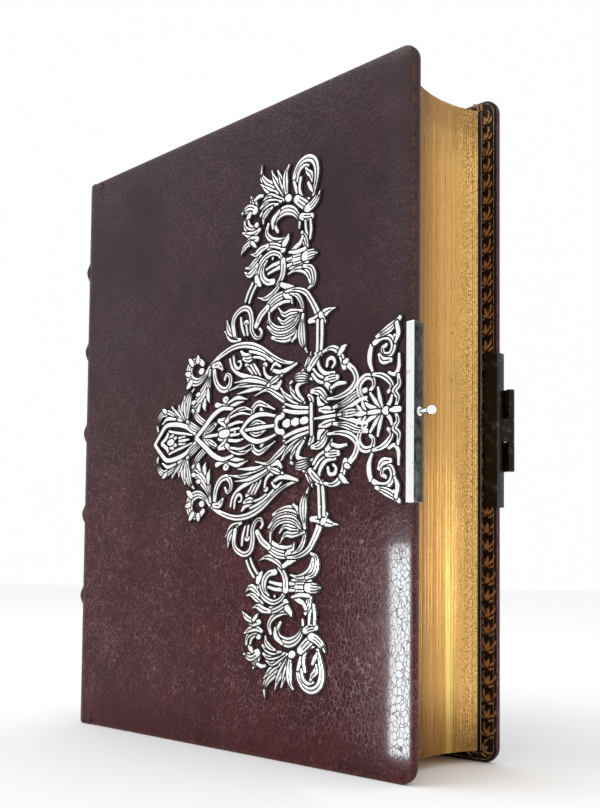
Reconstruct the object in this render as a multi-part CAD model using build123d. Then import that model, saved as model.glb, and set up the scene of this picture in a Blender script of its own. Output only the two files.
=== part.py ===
from build123d import *
from math import atan, cos, degrees, radians, sin
import os

# Clasped prayer book, standing on its tail edges: +Z runs from tail to head, the spine is at -X,
# the fore-edge at +X, the front cover faces -Y and the back cover +Y. Millimetres.
# The origin is on the standing surface, under the centre of the whole book.

os.makedirs("parts", exist_ok=True)

# ---- driving dimensions ----
book_height = 190.0
book_thickness = 42.6        # over both covers, leather included
cover_width = 139.0          # hinge line to fore-edge

leather = 0.4
board = 2.1
turn_in = 0.35               # leather folded on to the inside of a board
turn_in_width = 11.0
pastedown = 0.3
cover_corner = 4.5
cover_arris = 0.6

fore_square = 4.5            # how far the covers stand past the leaves
head_square = 3.5
fore_hollow = 5.0            # depth of the concave fore-edge
text_thickness = 35.2

spine_depth = 9.5            # roundness of the back, hinge line to its outermost point
shoulder_radius = 5.0
spine_leather = 0.5
spine_lining = 0.7
cap_reach = 2.4              # how far a headcap folds in over its headband
cap_thickness = 0.8
band_heights = [44.0, 72.5, 101.0, 130.0, 158.5]
band_half_width = 2.7
band_rise = 1.6
cord_half_width = 2.0
band_end_angle = 50.0        # where a raised band dies away beside the hinge line

leaf = 0.2
leaf_gap = 0.1
leaf_hinge_inset = 10.0      # gutter that stays flat when a leaf turns
headband_radius = 0.8

plate = 0.5                  # sheet of the clasp's two plates
relief = 1.4                 # cast ornament
plate_lap = 4.0              # how far each plate laps on to the inside of its board
catch_length = 46.0
catch_strip_width = 2.0
catch_strip = 0.7
hinge_plate_length = 44.0
hinge_plate_width = 9.0

knuckle_radius = 1.15
knuckle_offset = 1.25        # hinge axis from the hinge plate's outer corner
plate_knuckle = 6.3          # middle knuckle
knuckle_group = 23.4
knuckle_gap = 0.15
pin_radius = 0.5
pin_clearance = 0.05
arm = 1.0
arm_notch = 2.4
arm_overhang = 7.0           # thumb end past the catch pin

stud_neck_radius = 0.7
stud_neck_length = 2.6
stud_ball_radius = 1.35
stud_hole_radius = 1.8
rivet_radius = 0.4
rivet_length = 1.8

# ---- places worked out from them ----
cover_thickness = leather + board + turn_in
stud_length = stud_neck_length + 2 * stud_ball_radius - 0.2
stud_reach = plate + stud_length
back_reach = plate + knuckle_offset + knuckle_radius
overall_x = spine_depth + band_rise + cover_width + stud_reach
overall_y = relief + book_thickness + back_reach
fore_x = overall_x / 2 - stud_reach
joint_x = fore_x - cover_width
mid_y = overall_y / 2 - back_reach - book_thickness / 2
mid_z = book_height / 2
metal_z = 93.7                # middle height of the catch and clasp
plaque_shift = 2.0           # the plaque sits this far towards the fore-edge
plaque_turn = 1.33           # and a little turned on the cover, degrees
plaque_z = 95.7
half = book_thickness / 2
text_half = text_thickness / 2

spine_half = half - 0.1
shoulder_x = joint_x - 0.15
shoulder_y = spine_half - shoulder_radius
crown_angle = 2 * atan((spine_depth - shoulder_radius) / shoulder_y)
crown_radius = shoulder_y / sin(crown_angle) + shoulder_radius
crown_x = shoulder_x - spine_depth + crown_radius

hinge_x = fore_x + plate + knuckle_offset
hinge_y = mid_y + half + plate + knuckle_offset
stud_y = mid_y - half + cover_thickness / 2
arm_reach = hinge_y - stud_y

nodes = {}


def block(x0, x1, y0, y1, z0, z1):
    """Box between two corners."""
    centre = Pos((x0 + x1) / 2, (y0 + y1) / 2, (z0 + z1) / 2)
    return centre * Box(abs(x1 - x0), abs(y1 - y0), abs(z1 - z0))


def side_block(side, x0, x1, depth0, depth1, z0, z1):
    """Box given by its depths below one cover's outer face; side is -1 for front, 1 for back."""
    y0 = mid_y + side * (half - depth0)
    y1 = mid_y + side * (half - depth1)
    return block(x0, x1, y0, y1, z0, z1)


# ---- the rounded back ----
def shoulder_point(angle, inset, side):
    """Point of a shoulder arc whose outward normal leans `angle` degrees from -X."""
    radius = shoulder_radius - inset
    lean = radians(angle)
    return (shoulder_x - radius * cos(lean), mid_y + side * (shoulder_y + radius * sin(lean)))


def back_curve(inset, end_angle=90.0):
    """Crown arc with a shoulder arc each side, from the front hinge line to the back one."""
    start = degrees(crown_angle)
    middle = (start + end_angle) / 2
    points = [shoulder_point(a, inset, -1) for a in (end_angle, middle, start)]
    mirrored = [shoulder_point(a, inset, 1) for a in (start, middle, end_angle)]
    crown = (crown_x - crown_radius + inset, mid_y)
    front_arc = ThreePointArc(*points)
    crown_arc = ThreePointArc(points[-1], crown, mirrored[0])
    back_arc = ThreePointArc(*mirrored)
    return [front_arc, crown_arc, back_arc]


def back_layer(outer, inner, z0, z1, end_angle=90.0):
    """Curved sheet that follows the back, between two insets and two heights."""
    outside = back_curve(outer, end_angle)
    inside = back_curve(inner, end_angle)
    front_end = Line(outside[0] @ 0, inside[0] @ 0)
    back_end = Line(outside[2] @ 1, inside[2] @ 1)
    face = make_face(outside + inside + [front_end, back_end])
    return Pos(0, 0, z0) * extrude(face, z1 - z0, dir=(0, 0, 1))


def band_sweep(z, inset, half_width, rise, end_angle):
    """Half-round ridge that follows the back at one height."""
    path = Pos(0, 0, z) * Wire(back_curve(inset, end_angle))
    start = path @ 0
    tangent = path % 0
    outward = Vector(tangent.Y, -tangent.X, 0)
    if outward.X > 0:
        outward = outward * -1
    plane = Plane(origin=start, x_dir=outward, z_dir=tangent)
    oval = Ellipse(rise, half_width)
    kept = Pos(rise / 2, 0) * Rectangle(rise, 2 * half_width)
    return sweep(plane * (oval & kept), path=path)


# ---- text block ----
def text_block():
    """Sewn and pressed leaves: hollow fore-edge, rounded back, shoulders that the boards sit against."""
    edge_x = fore_x - fore_square
    front_y = mid_y - text_half
    back_y = mid_y + text_half
    back = back_curve(spine_leather + spine_lining)
    hollow = ThreePointArc((edge_x, front_y), (edge_x - fore_hollow, mid_y), (edge_x, back_y))
    front_run = Polyline((edge_x, front_y), (shoulder_x, front_y), back[0] @ 0)
    back_run = Polyline((edge_x, back_y), (shoulder_x, back_y), back[2] @ 1)
    face = make_face(back + [hollow] + front_run.edges() + back_run.edges())
    return Pos(0, 0, head_square) * extrude(face, book_height - 2 * head_square, dir=(0, 0, 1))


def stub(side):
    """Folded gutter strip of the endpapers, sewn down on the text block."""
    depth = half - text_half
    return side_block(
        side, joint_x + leaf_gap, joint_x + leaf_hinge_inset - 0.2,
        depth, depth - 2 * (leaf + leaf_gap), head_square, book_height - head_square
    )


def turning_leaf(side, place):
    """Single sheet on the text block; place 0 lies against the cover, 1 under it."""
    outer = cover_thickness + 0.15 + place * (leaf + leaf_gap)
    return side_block(
        side, joint_x + leaf_hinge_inset + place, fore_x - fore_square - 0.1,
        outer, outer + leaf, head_square, book_height - head_square
    )


def headband(z):
    """Wound cord at one end of the spine."""
    path = Pos(0, 0, z) * Wire(back_curve(cap_reach + 0.4, 60.0))
    plane = Plane(origin=path @ 0, z_dir=path % 0)
    return sweep(plane * Circle(headband_radius), path=path)


nodes["text_block"] = text_block()
nodes["spine_lining"] = back_layer(
    spine_leather, spine_leather + spine_lining, head_square, book_height - head_square
)
nodes["front_endpaper_stub"] = stub(-1)
nodes["back_endpaper_stub"] = stub(1)
nodes["front_free_endpaper"] = turning_leaf(-1, 0)
nodes["front_leaf"] = turning_leaf(-1, 1)
nodes["back_free_endpaper"] = turning_leaf(1, 0)
nodes["back_leaf"] = turning_leaf(1, 1)
nodes["head_band"] = headband(book_height - head_square + headband_radius)
nodes["tail_band"] = headband(head_square - headband_radius)

# ---- spine: sewing cords under moulded leather ----
cords = [
    band_sweep(z, spine_leather, cord_half_width, band_rise, band_end_angle - 3) for z in band_heights
]
spine = back_layer(0, spine_leather, 0, book_height)
for z in band_heights:
    spine += band_sweep(z, 0, band_half_width, band_rise, band_end_angle)
for z0 in (0, book_height - cap_thickness):
    spine += back_layer(0, cap_reach, z0, z0 + cap_thickness, 60.0)
for cord in cords:
    spine -= cord
nodes["spine_leather"] = spine
nodes["sewing_cords"] = Compound(children=cords)


# ---- covers ----
def cover_shape(side, inset, depth0, depth1):
    """Board-shaped slab, rounded at its corners; inset is measured from the cover's edges."""
    slab = side_block(
        side, joint_x, fore_x - inset, depth0, depth1, inset, book_height - inset
    )
    corners = slab.edges().filter_by(Axis.Y)
    return fillet(corners, cover_corner - inset)


def cover_leather(side):
    """Outer leather with its fore-edge, head and tail turned in round the board."""
    shape = cover_shape(side, 0, 0, cover_thickness)
    long_edges = shape.faces().sort_by(Axis.Y)[0].edges() + shape.faces().sort_by(Axis.Y)[-1].edges()
    shape = fillet(long_edges, cover_arris)
    core = cover_shape(side, leather, leather, leather + board)
    window = side_block(
        side, joint_x - 1, fore_x - turn_in_width, leather + board / 2, cover_thickness + 1,
        turn_in_width, book_height - turn_in_width
    )
    return shape - core - window


def pasted_sheet(side):
    """Paper pasted to the inside of the board, within the turned-in leather."""
    depth = leather + board
    return side_block(
        side, joint_x + 1, fore_x - turn_in_width - 0.1, depth, depth + pastedown,
        turn_in_width + 0.1, book_height - turn_in_width - 0.1
    )


for name, side in (("front", -1), ("back", 1)):
    nodes[name + "_cover_leather"] = cover_leather(side)
    nodes[name + "_board"] = cover_shape(side, leather, leather, leather + board)
    nodes[name + "_pastedown"] = pasted_sheet(side)

# ---- plaque: pierced, cast ornament on the front cover ----
# Half outline of the plaque: distance in from the fore-edge, height above the middle.
plaque_outline = [
    (102.5, 0), (98.0, 5.0), (103.0, 6.5), (99.5, 12.0), (92.5, 10.5), (85.0, 16.0),
    (87.5, 22.0), (82.5, 27.0), (77.0, 24.0), (74.5, 24.5), (65.5, 28.5), (70.5, 34.0),
    (62.0, 41.0), (59.5, 45.5), (62.5, 48.5), (57.0, 53.5), (63.0, 57.0), (61.5, 62.0),
    (63.5, 66.5), (59.5, 70.5), (55.5, 70.0), (54.5, 78.0), (44.0, 75.5), (38.0, 77.0),
    (33.5, 73.5), (35.0, 66.5), (32.5, 64.0), (36.0, 59.0), (36.5, 52.5), (33.0, 47.5),
    (34.0, 39.0), (27.0, 31.0), (31.0, 27.5), (30.5, 21.0), (24.5, 19.0), (22.5, 7.0),
    (20.6, 4.0), (20.6, 0),
]
# Pierced openings: centre, half length along the cover, half height.
plaque_openings = [
    (44.5, 58.0, 3.2, 2.2), (38.5, 67.0, 1.8, 3.4), (56.5, 62.5, 1.8, 2.4), (41.0, 51.0, 2.4, 1.4),
    (54.5, 38.5, 3.0, 1.6), (60.0, 33.5, 2.4, 1.8), (46.0, 33.5, 3.0, 1.6), (33.2, 24.5, 1.0, 2.6),
    (47.0, 13.5, 2.2, 1.6), (38.0, 8.0, 2.0, 1.4), (28.5, 14.0, 1.8, 1.8), (80.5, 21.5, 1.6, 1.4),
    (71.5, 11.0, 3.0, 0.9), (83.5, 11.0, 2.4, 1.4), (64.5, 20.5, 2.4, 1.4), (52.5, 19.0, 2.6, 1.0),
]
plaque_rivets = [(96.0, 0), (66.0, 0), (23.0, 0), (73.0, 21.0), (34.0, 18.0), (50.0, 48.5), (46.0, 68.5)]

# Half outline of the catch plate's flange, in the same two measures.
flange_outline = [
    (catch_strip_width, 0), (catch_strip_width, 22.8), (8.0, 21.5), (13.0, 18.5), (14.5, 14.5), (13.5, 11.0), (17.5, 7.5),
    (18.0, 0),
]
flange_openings = [(10.0, 15.5, 1.9, 1.7), (12.5, 6.5, 1.5, 1.2), (6.5, 9.0, 1.2, 1.6)]
catch_rivets = [(5.5, 20.0), (15.5, 3.2)]
hinge_rivets = [(6.5, 18.5), (6.5, 9.5)]


def cast_ornament(outline, openings, thickness, origin, turn=0.0):
    """Pierced plate on the front cover, the same above and below its middle line."""
    half_face = make_face(Polyline(*outline, close=True))
    for x, z, half_x, half_z in openings:
        half_face -= Pos(x, z) * Ellipse(half_x, half_z)
    whole = half_face + mirror(half_face, Plane.XZ)
    x_dir = (-cos(radians(turn)), 0, -sin(radians(turn)))
    plane = Plane(origin=(origin[0], mid_y - half, origin[1]), x_dir=x_dir, z_dir=(0, 1, 0))
    return extrude(plane * whole, thickness, dir=(0, -1, 0))


def rivet_group(side, places, head_depth, origin, turn=0.0):
    """Small pins driven into one board, above and below the middle line."""
    pins = []
    for u, v in places:
        for w in sorted({v, -v}):
            centre_y = mid_y + side * (half + head_depth - rivet_length / 2)
            x = origin[0] - u * cos(radians(turn)) - w * sin(radians(turn))
            z = origin[1] - u * sin(radians(turn)) + w * cos(radians(turn))
            pin = Rot(90, 0, 0) * Cylinder(rivet_radius, rivet_length)
            pins.append(Pos(x, centre_y, z) * pin)
    return Compound(children=pins)


plaque_origin = (fore_x + plaque_shift, plaque_z)
metal_origin = (fore_x, metal_z)


nodes["plaque"] = cast_ornament(plaque_outline, plaque_openings, relief, plaque_origin, plaque_turn)
nodes["plaque_rivets"] = rivet_group(-1, plaque_rivets, relief - 0.3, plaque_origin, plaque_turn)
nodes["catch_ornament"] = cast_ornament(flange_outline, flange_openings, relief - 0.2, metal_origin)
nodes["catch_rivets"] = rivet_group(-1, catch_rivets, relief - 0.5, metal_origin)


# ---- catch plate and its pin ----
def edge_channel(side, length, face_width, face_thickness):
    """Metal bent round a board's fore-edge: outer leaf, edge leaf and a lap on the inside."""
    z0 = metal_z - length / 2
    z1 = metal_z + length / 2
    inner = cover_thickness + plate
    face_leaf = side_block(side, fore_x - face_width, fore_x + plate, -face_thickness, 0, z0, z1)
    edge_leaf = side_block(side, fore_x, fore_x + plate, 0, inner, z0, z1)
    lap = side_block(side, fore_x - plate_lap, fore_x + plate, cover_thickness, inner, z0, z1)
    return face_leaf + edge_leaf + lap


def catch_pin():
    """Ball-ended pin that the clasp's eye goes over."""
    turned = Plane(origin=(fore_x + plate, stud_y, metal_z), z_dir=(1, 0, 0))
    neck = extrude(turned * Circle(stud_neck_radius), stud_neck_length)
    collar = extrude(turned * Circle(stud_neck_radius + 0.5), 0.3)
    ball_x = fore_x + stud_reach - stud_ball_radius
    return neck + collar + Pos(ball_x, stud_y, metal_z) * Sphere(stud_ball_radius)


nodes["catch_plate"] = edge_channel(-1, catch_length, catch_strip_width, catch_strip)
nodes["catch_pin"] = catch_pin()


# ---- clasp hinge and arm ----
def upright(radius, z0, z1):
    """Cylinder on the clasp's hinge axis."""
    return Pos(hinge_x, hinge_y, (z0 + z1) / 2) * Cylinder(radius, z1 - z0)


def hinge_plate():
    """Plate bent round the back board's fore-edge, with the clasp's middle knuckle."""
    channel = edge_channel(1, hinge_plate_length, hinge_plate_width, plate)
    web_half = knuckle_radius * 0.7
    outer_y = mid_y + half + plate
    web_outline = Polyline(
        (fore_x + plate, outer_y - 1.3), (fore_x + plate - 1.3, outer_y),
        (hinge_x - web_half, hinge_y + web_half), (hinge_x + web_half, hinge_y - web_half), close=True
    )
    low = metal_z - plate_knuckle / 2
    web = Pos(0, 0, low) * extrude(make_face(web_outline), plate_knuckle, dir=(0, 0, 1))
    knuckle = upright(knuckle_radius, low, low + plate_knuckle)
    bore = upright(pin_radius + pin_clearance, low - 1, low + plate_knuckle + 1)
    return channel + web + knuckle - bore


# Half outline of the clasp arm: distance from the hinge axis, height above the middle.
arm_outline = [
    (0, knuckle_group / 2), (4.0, knuckle_group / 2), (7.5, 8.6), (13.0, 6.4), (24.0, 5.2),
    (31.0, 6.0), (35.5, 8.2), (arm_reach, 8.6), (arm_reach + 4.5, 5.0), (arm_reach + arm_overhang, 3.2),
]


def clasp_arm():
    """Arm with the two outer knuckles, the eye for the catch pin and a thumb end, folded to the back."""
    lower = [(u, -w) for u, w in reversed(arm_outline)]
    plane = Plane(origin=(hinge_x, hinge_y + arm / 2, metal_z), x_dir=(-1, 0, 0), z_dir=(0, 1, 0))
    face = make_face(Polyline(*arm_outline, *lower, close=True))
    face -= Pos(arm_reach, 0) * Circle(stud_hole_radius)
    face -= Pos(10.5, 0) * Ellipse(3.2, 2.6)
    face -= Pos(27.5, 0) * Ellipse(4.5, 1.6)
    leaf_shape = extrude(plane * face, arm, dir=(0, -1, 0))
    notch_half = plate_knuckle / 2 + knuckle_gap
    notch = block(
        hinge_x - arm_notch, hinge_x + arm_notch, hinge_y - arm_notch, hinge_y + arm_notch,
        metal_z - notch_half, metal_z + notch_half
    )
    low = metal_z - knuckle_group / 2
    high = metal_z + knuckle_group / 2
    knuckles = upright(knuckle_radius, low, high)
    bore = upright(pin_radius, low - 1, high + 1)
    return leaf_shape + knuckles - notch - bore


nodes["hinge_plate"] = hinge_plate()
nodes["hinge_rivets"] = rivet_group(1, hinge_rivets, plate, metal_origin)
nodes["hinge_pin"] = upright(pin_radius, metal_z - knuckle_group / 2, metal_z + knuckle_group / 2)
nodes["clasp_arm"] = clasp_arm()

for name, shape in nodes.items():
    export_step(shape, "parts/" + name + ".step")

print("front hinge", joint_x, mid_y - half, " back hinge", joint_x, mid_y + half)
print("clasp axis", hinge_x, hinge_y, " pin", fore_x + plate, stud_y, metal_z)
print("fore-edge", fore_x, " middle", mid_y)
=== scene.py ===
import math

import bmesh
import bpy
import numpy as np
from mathutils import Matrix, Vector


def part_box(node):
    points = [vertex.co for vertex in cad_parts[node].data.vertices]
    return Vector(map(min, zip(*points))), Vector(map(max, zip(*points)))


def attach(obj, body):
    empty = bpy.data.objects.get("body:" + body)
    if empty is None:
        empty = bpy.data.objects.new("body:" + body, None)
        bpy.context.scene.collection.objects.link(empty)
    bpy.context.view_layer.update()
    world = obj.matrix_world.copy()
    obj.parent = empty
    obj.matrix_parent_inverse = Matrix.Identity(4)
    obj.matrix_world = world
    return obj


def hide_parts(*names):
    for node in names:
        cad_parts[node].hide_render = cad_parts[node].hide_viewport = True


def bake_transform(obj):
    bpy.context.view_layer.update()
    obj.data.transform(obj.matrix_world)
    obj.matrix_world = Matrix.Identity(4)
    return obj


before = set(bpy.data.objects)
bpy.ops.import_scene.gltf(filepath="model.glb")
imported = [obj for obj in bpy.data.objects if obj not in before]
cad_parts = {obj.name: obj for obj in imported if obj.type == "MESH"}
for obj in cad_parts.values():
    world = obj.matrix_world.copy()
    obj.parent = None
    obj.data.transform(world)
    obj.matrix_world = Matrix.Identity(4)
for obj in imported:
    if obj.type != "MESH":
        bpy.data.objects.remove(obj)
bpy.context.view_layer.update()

MM = 0.001

# ---- places read from the frame ----
front_lo, front_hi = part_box("front_cover_leather")
back_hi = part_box("back_cover_leather")[1]
text_lo, text_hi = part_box("text_block")
fore_x = front_hi[0]
joint_x = front_lo[0]
front_y = front_lo[1]
back_y = back_hi[1]
book_height = front_hi[2]
mid_y = (front_y + back_y) / 2
mid_z = book_height / 2
cover_depth = front_hi[1] - front_lo[1]


# ---- small helpers ----
def fill(tree, node, inputs):
    """Links each input whose value is a socket and sets the others."""
    for key, value in inputs.items():
        if isinstance(value, bpy.types.NodeSocket):
            tree.links.new(value, node.inputs[key])
        else:
            node.inputs[key].default_value = value


def add_node(tree, kind, inputs=None, **settings):
    """Adds a shader or geometry node and fills its inputs."""
    made = tree.nodes.new(kind)
    for key, value in settings.items():
        setattr(made, key, value)
    fill(tree, made, inputs or {})
    return made


def new_material(name):
    """Material with an empty Principled shader; returns material, tree and shader."""
    material = bpy.data.materials.new(name)
    material.use_nodes = True
    tree = material.node_tree
    shader = tree.nodes["Principled BSDF"]
    return material, tree, shader


def object_place(tree, scale=(1, 1, 1), rotation=(0, 0, 0)):
    """Object coordinates in millimetres, stretched by scale."""
    coords = add_node(tree, "ShaderNodeTexCoord")
    mapping = add_node(tree, "ShaderNodeMapping", {
        "Vector": coords.outputs["Object"], "Scale": [1000 * s for s in scale], "Rotation": rotation})
    return mapping.outputs[0]


def noise(tree, place, scale, detail=3.0, rough=0.55):
    made = add_node(tree, "ShaderNodeTexNoise", {
        "Vector": place, "Scale": scale, "Detail": detail, "Roughness": rough})
    return made.outputs["Fac"]


def ramp(tree, value, low, high, to_low=0.0, to_high=1.0):
    """Smooth step of a value from low to high, between two results."""
    made = add_node(tree, "ShaderNodeMapRange", {
        "Value": value, "From Min": low, "From Max": high, "To Min": to_low, "To Max": to_high},
        interpolation_type="SMOOTHSTEP")
    return made.outputs[0]


def maths(tree, operation, a, b=0.0):
    return add_node(tree, "ShaderNodeMath", {0: a, 1: b}, operation=operation).outputs[0]


def times(tree, value, *others):
    """Product of several values."""
    for other in others:
        value = maths(tree, "MULTIPLY", value, other)
    return value


def plus(tree, value, *others):
    """Sum of several values."""
    for other in others:
        value = maths(tree, "ADD", value, other)
    return value


def attribute(tree, name):
    """Value stored on the mesh's points."""
    return add_node(tree, "ShaderNodeAttribute", attribute_name=name).outputs["Fac"]


def axes_of(tree, vector):
    """X, Y and Z of a vector."""
    return add_node(tree, "ShaderNodeSeparateXYZ", {0: vector}).outputs


def mix_colour(tree, amount, a, b):
    """Colour a where amount is 0 and b where it is 1."""
    return add_node(tree, "ShaderNodeMix", {0: amount, 6: a, 7: b}, data_type="RGBA").outputs[2]


def bump(tree, height, strength, distance):
    return add_node(tree, "ShaderNodeBump", {
        "Height": height, "Strength": strength, "Distance": distance}).outputs[0]


def mesh_piece(name, points, faces, material, smooth=True):
    """Mesh object at the origin from points in metres and faces."""
    mesh = bpy.data.meshes.new(name)
    mesh.from_pydata([tuple(map(float, p)) for p in points], [], [tuple(map(int, f)) for f in faces])
    mesh.materials.append(material)
    if smooth:
        mesh.polygons.foreach_set("use_smooth", [True] * len(mesh.polygons))
    mesh.update()
    made = bpy.data.objects.new(name, mesh)
    bpy.context.scene.collection.objects.link(made)
    return made


def recalculate_outward(piece):
    """Joins points that coincide and turns every face outward."""
    work = bmesh.new()
    work.from_mesh(piece.data)
    bmesh.ops.remove_doubles(work, verts=work.verts, dist=1e-7)
    bmesh.ops.recalc_face_normals(work, faces=work.faces)
    work.to_mesh(piece.data)
    work.free()


def closed_piece(name, points, faces, material, smooth=True):
    """Mesh object whose faces all look outward."""
    made = mesh_piece(name, points, faces, material, smooth)
    recalculate_outward(made)
    return made


def tube_faces(rings, count, base=0):
    """Faces of a tube of rings, count points in each, with both ends closed. Its first point is base."""
    faces = []
    for r in range(rings - 1):
        for k in range(count):
            p, q = base + r * count + k, base + r * count + (k + 1) % count
            faces.append((p, q, q + count, p + count))
    faces.append(tuple(base + k for k in reversed(range(count))))
    faces.append(tuple(base + (rings - 1) * count + k for k in range(count)))
    return faces


def sheet_faces(rows, count, base=0):
    """Faces of an open sheet of rows, count points in each."""
    starts = [base + r * count + i for r in range(rows - 1) for i in range(count - 1)]
    return [(a, a + 1, a + count + 1, a + count) for a in starts]


def lid_faces(count, base=0):
    """Faces that close a ring of points, in strips from one half of the ring to the other."""
    faces = []
    for i in range(count // 2):
        a, b = base + i, base + count - 1 - i
        if b - a > 1:
            faces.append((a, b, b - 1, a + 1) if b - a > 2 else (a, b, a + 1))
    return faces


# ---- camera, floor and lights ----
def make_camera():
    """Three-quarter view of the front cover and fore-edge, a little below the middle of the book."""
    yaw, pitch, roll = math.radians(42.461), math.radians(2.795), math.radians(0.583)
    place = Vector((fore_x + 139.54 * MM, mid_y - 215.79 * MM, 53.02 * MM))
    forward_flat = Vector((-math.sin(yaw), math.cos(yaw), 0))
    right_flat = Vector((math.cos(yaw), math.sin(yaw), 0))
    up = Vector((0, 0, 1))
    forward = forward_flat * math.cos(pitch) + up * math.sin(pitch)
    up_tilted = up * math.cos(pitch) - forward_flat * math.sin(pitch)
    right = right_flat * math.cos(roll) + up_tilted * math.sin(roll)
    up_rolled = up_tilted * math.cos(roll) - right_flat * math.sin(roll)
    data = bpy.data.cameras.new("camera")
    data.lens = 42.4065
    data.sensor_width = 36
    data.shift_y = 0.15
    data.clip_start = 0.01
    camera = bpy.data.objects.new("camera", data)
    turn = Matrix((right, up_rolled, -forward)).transposed()
    camera.matrix_world = Matrix.Translation(place) @ turn.to_4x4()
    bpy.context.scene.collection.objects.link(camera)
    bpy.context.scene.camera = camera


def softbox(name, place, aim, width, height, radiance, colour=(1.0, 1.0, 1.0), shine_only=False):
    """Rectangular area light of a given brightness, aimed at a point."""
    data = bpy.data.lights.new(name, "AREA")
    data.shape = "RECTANGLE"
    data.size = width
    data.size_y = height
    data.energy = radiance * width * height * math.pi
    data.color = colour
    light = bpy.data.objects.new(name, data)
    light.visible_camera = False
    light.visible_diffuse = not shine_only
    direction = Vector(aim) - Vector(place)
    turn = direction.to_track_quat("-Z", "Y").to_matrix().to_4x4()
    light.matrix_world = Matrix.Translation(Vector(place)) @ turn
    bpy.context.scene.collection.objects.link(light)


def make_stage():
    """White floor under an even white sky, with three soft lights."""
    material, tree, shader = new_material("pale_floor")
    fill(tree, shader, {"Base Color": (0.94, 0.94, 0.94, 1), "Roughness": 0.9, "Specular IOR Level": 0.1})
    rim = [(3 * math.cos(a), 3 * math.sin(a), 0) for a in np.linspace(0, 2 * math.pi, 64, endpoint=False)]
    floor = mesh_piece("floor", rim, [range(64)], material, smooth=False)
    world = bpy.data.worlds.new("studio")
    world.use_nodes = True
    world.node_tree.nodes["Background"].inputs["Color"].default_value = (0.99, 0.995, 1.0, 1)
    world.node_tree.nodes["Background"].inputs["Strength"].default_value = 1.0
    bpy.context.scene.world = world
    settings = bpy.context.scene.view_settings
    settings.view_transform = "Standard"
    settings.look = "None"
    centre = (0, 0, 0.095)
    softbox("overhead", (-0.25, -0.35, 0.75), centre, 0.5, 0.5, 2.2)
    softbox("right_back", (0.52, 0.43, 0.075), (fore_x, mid_y, 0.05), 0.05, 0.15, 9.0)
    softbox("fore_edge_glint", (0.060, -0.047, 0.0315), (fore_x - 0.002, front_y, 0.0315), 0.022, 0.059, 14.0,
            (0.86, 0.96, 1.0), True)


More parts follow.
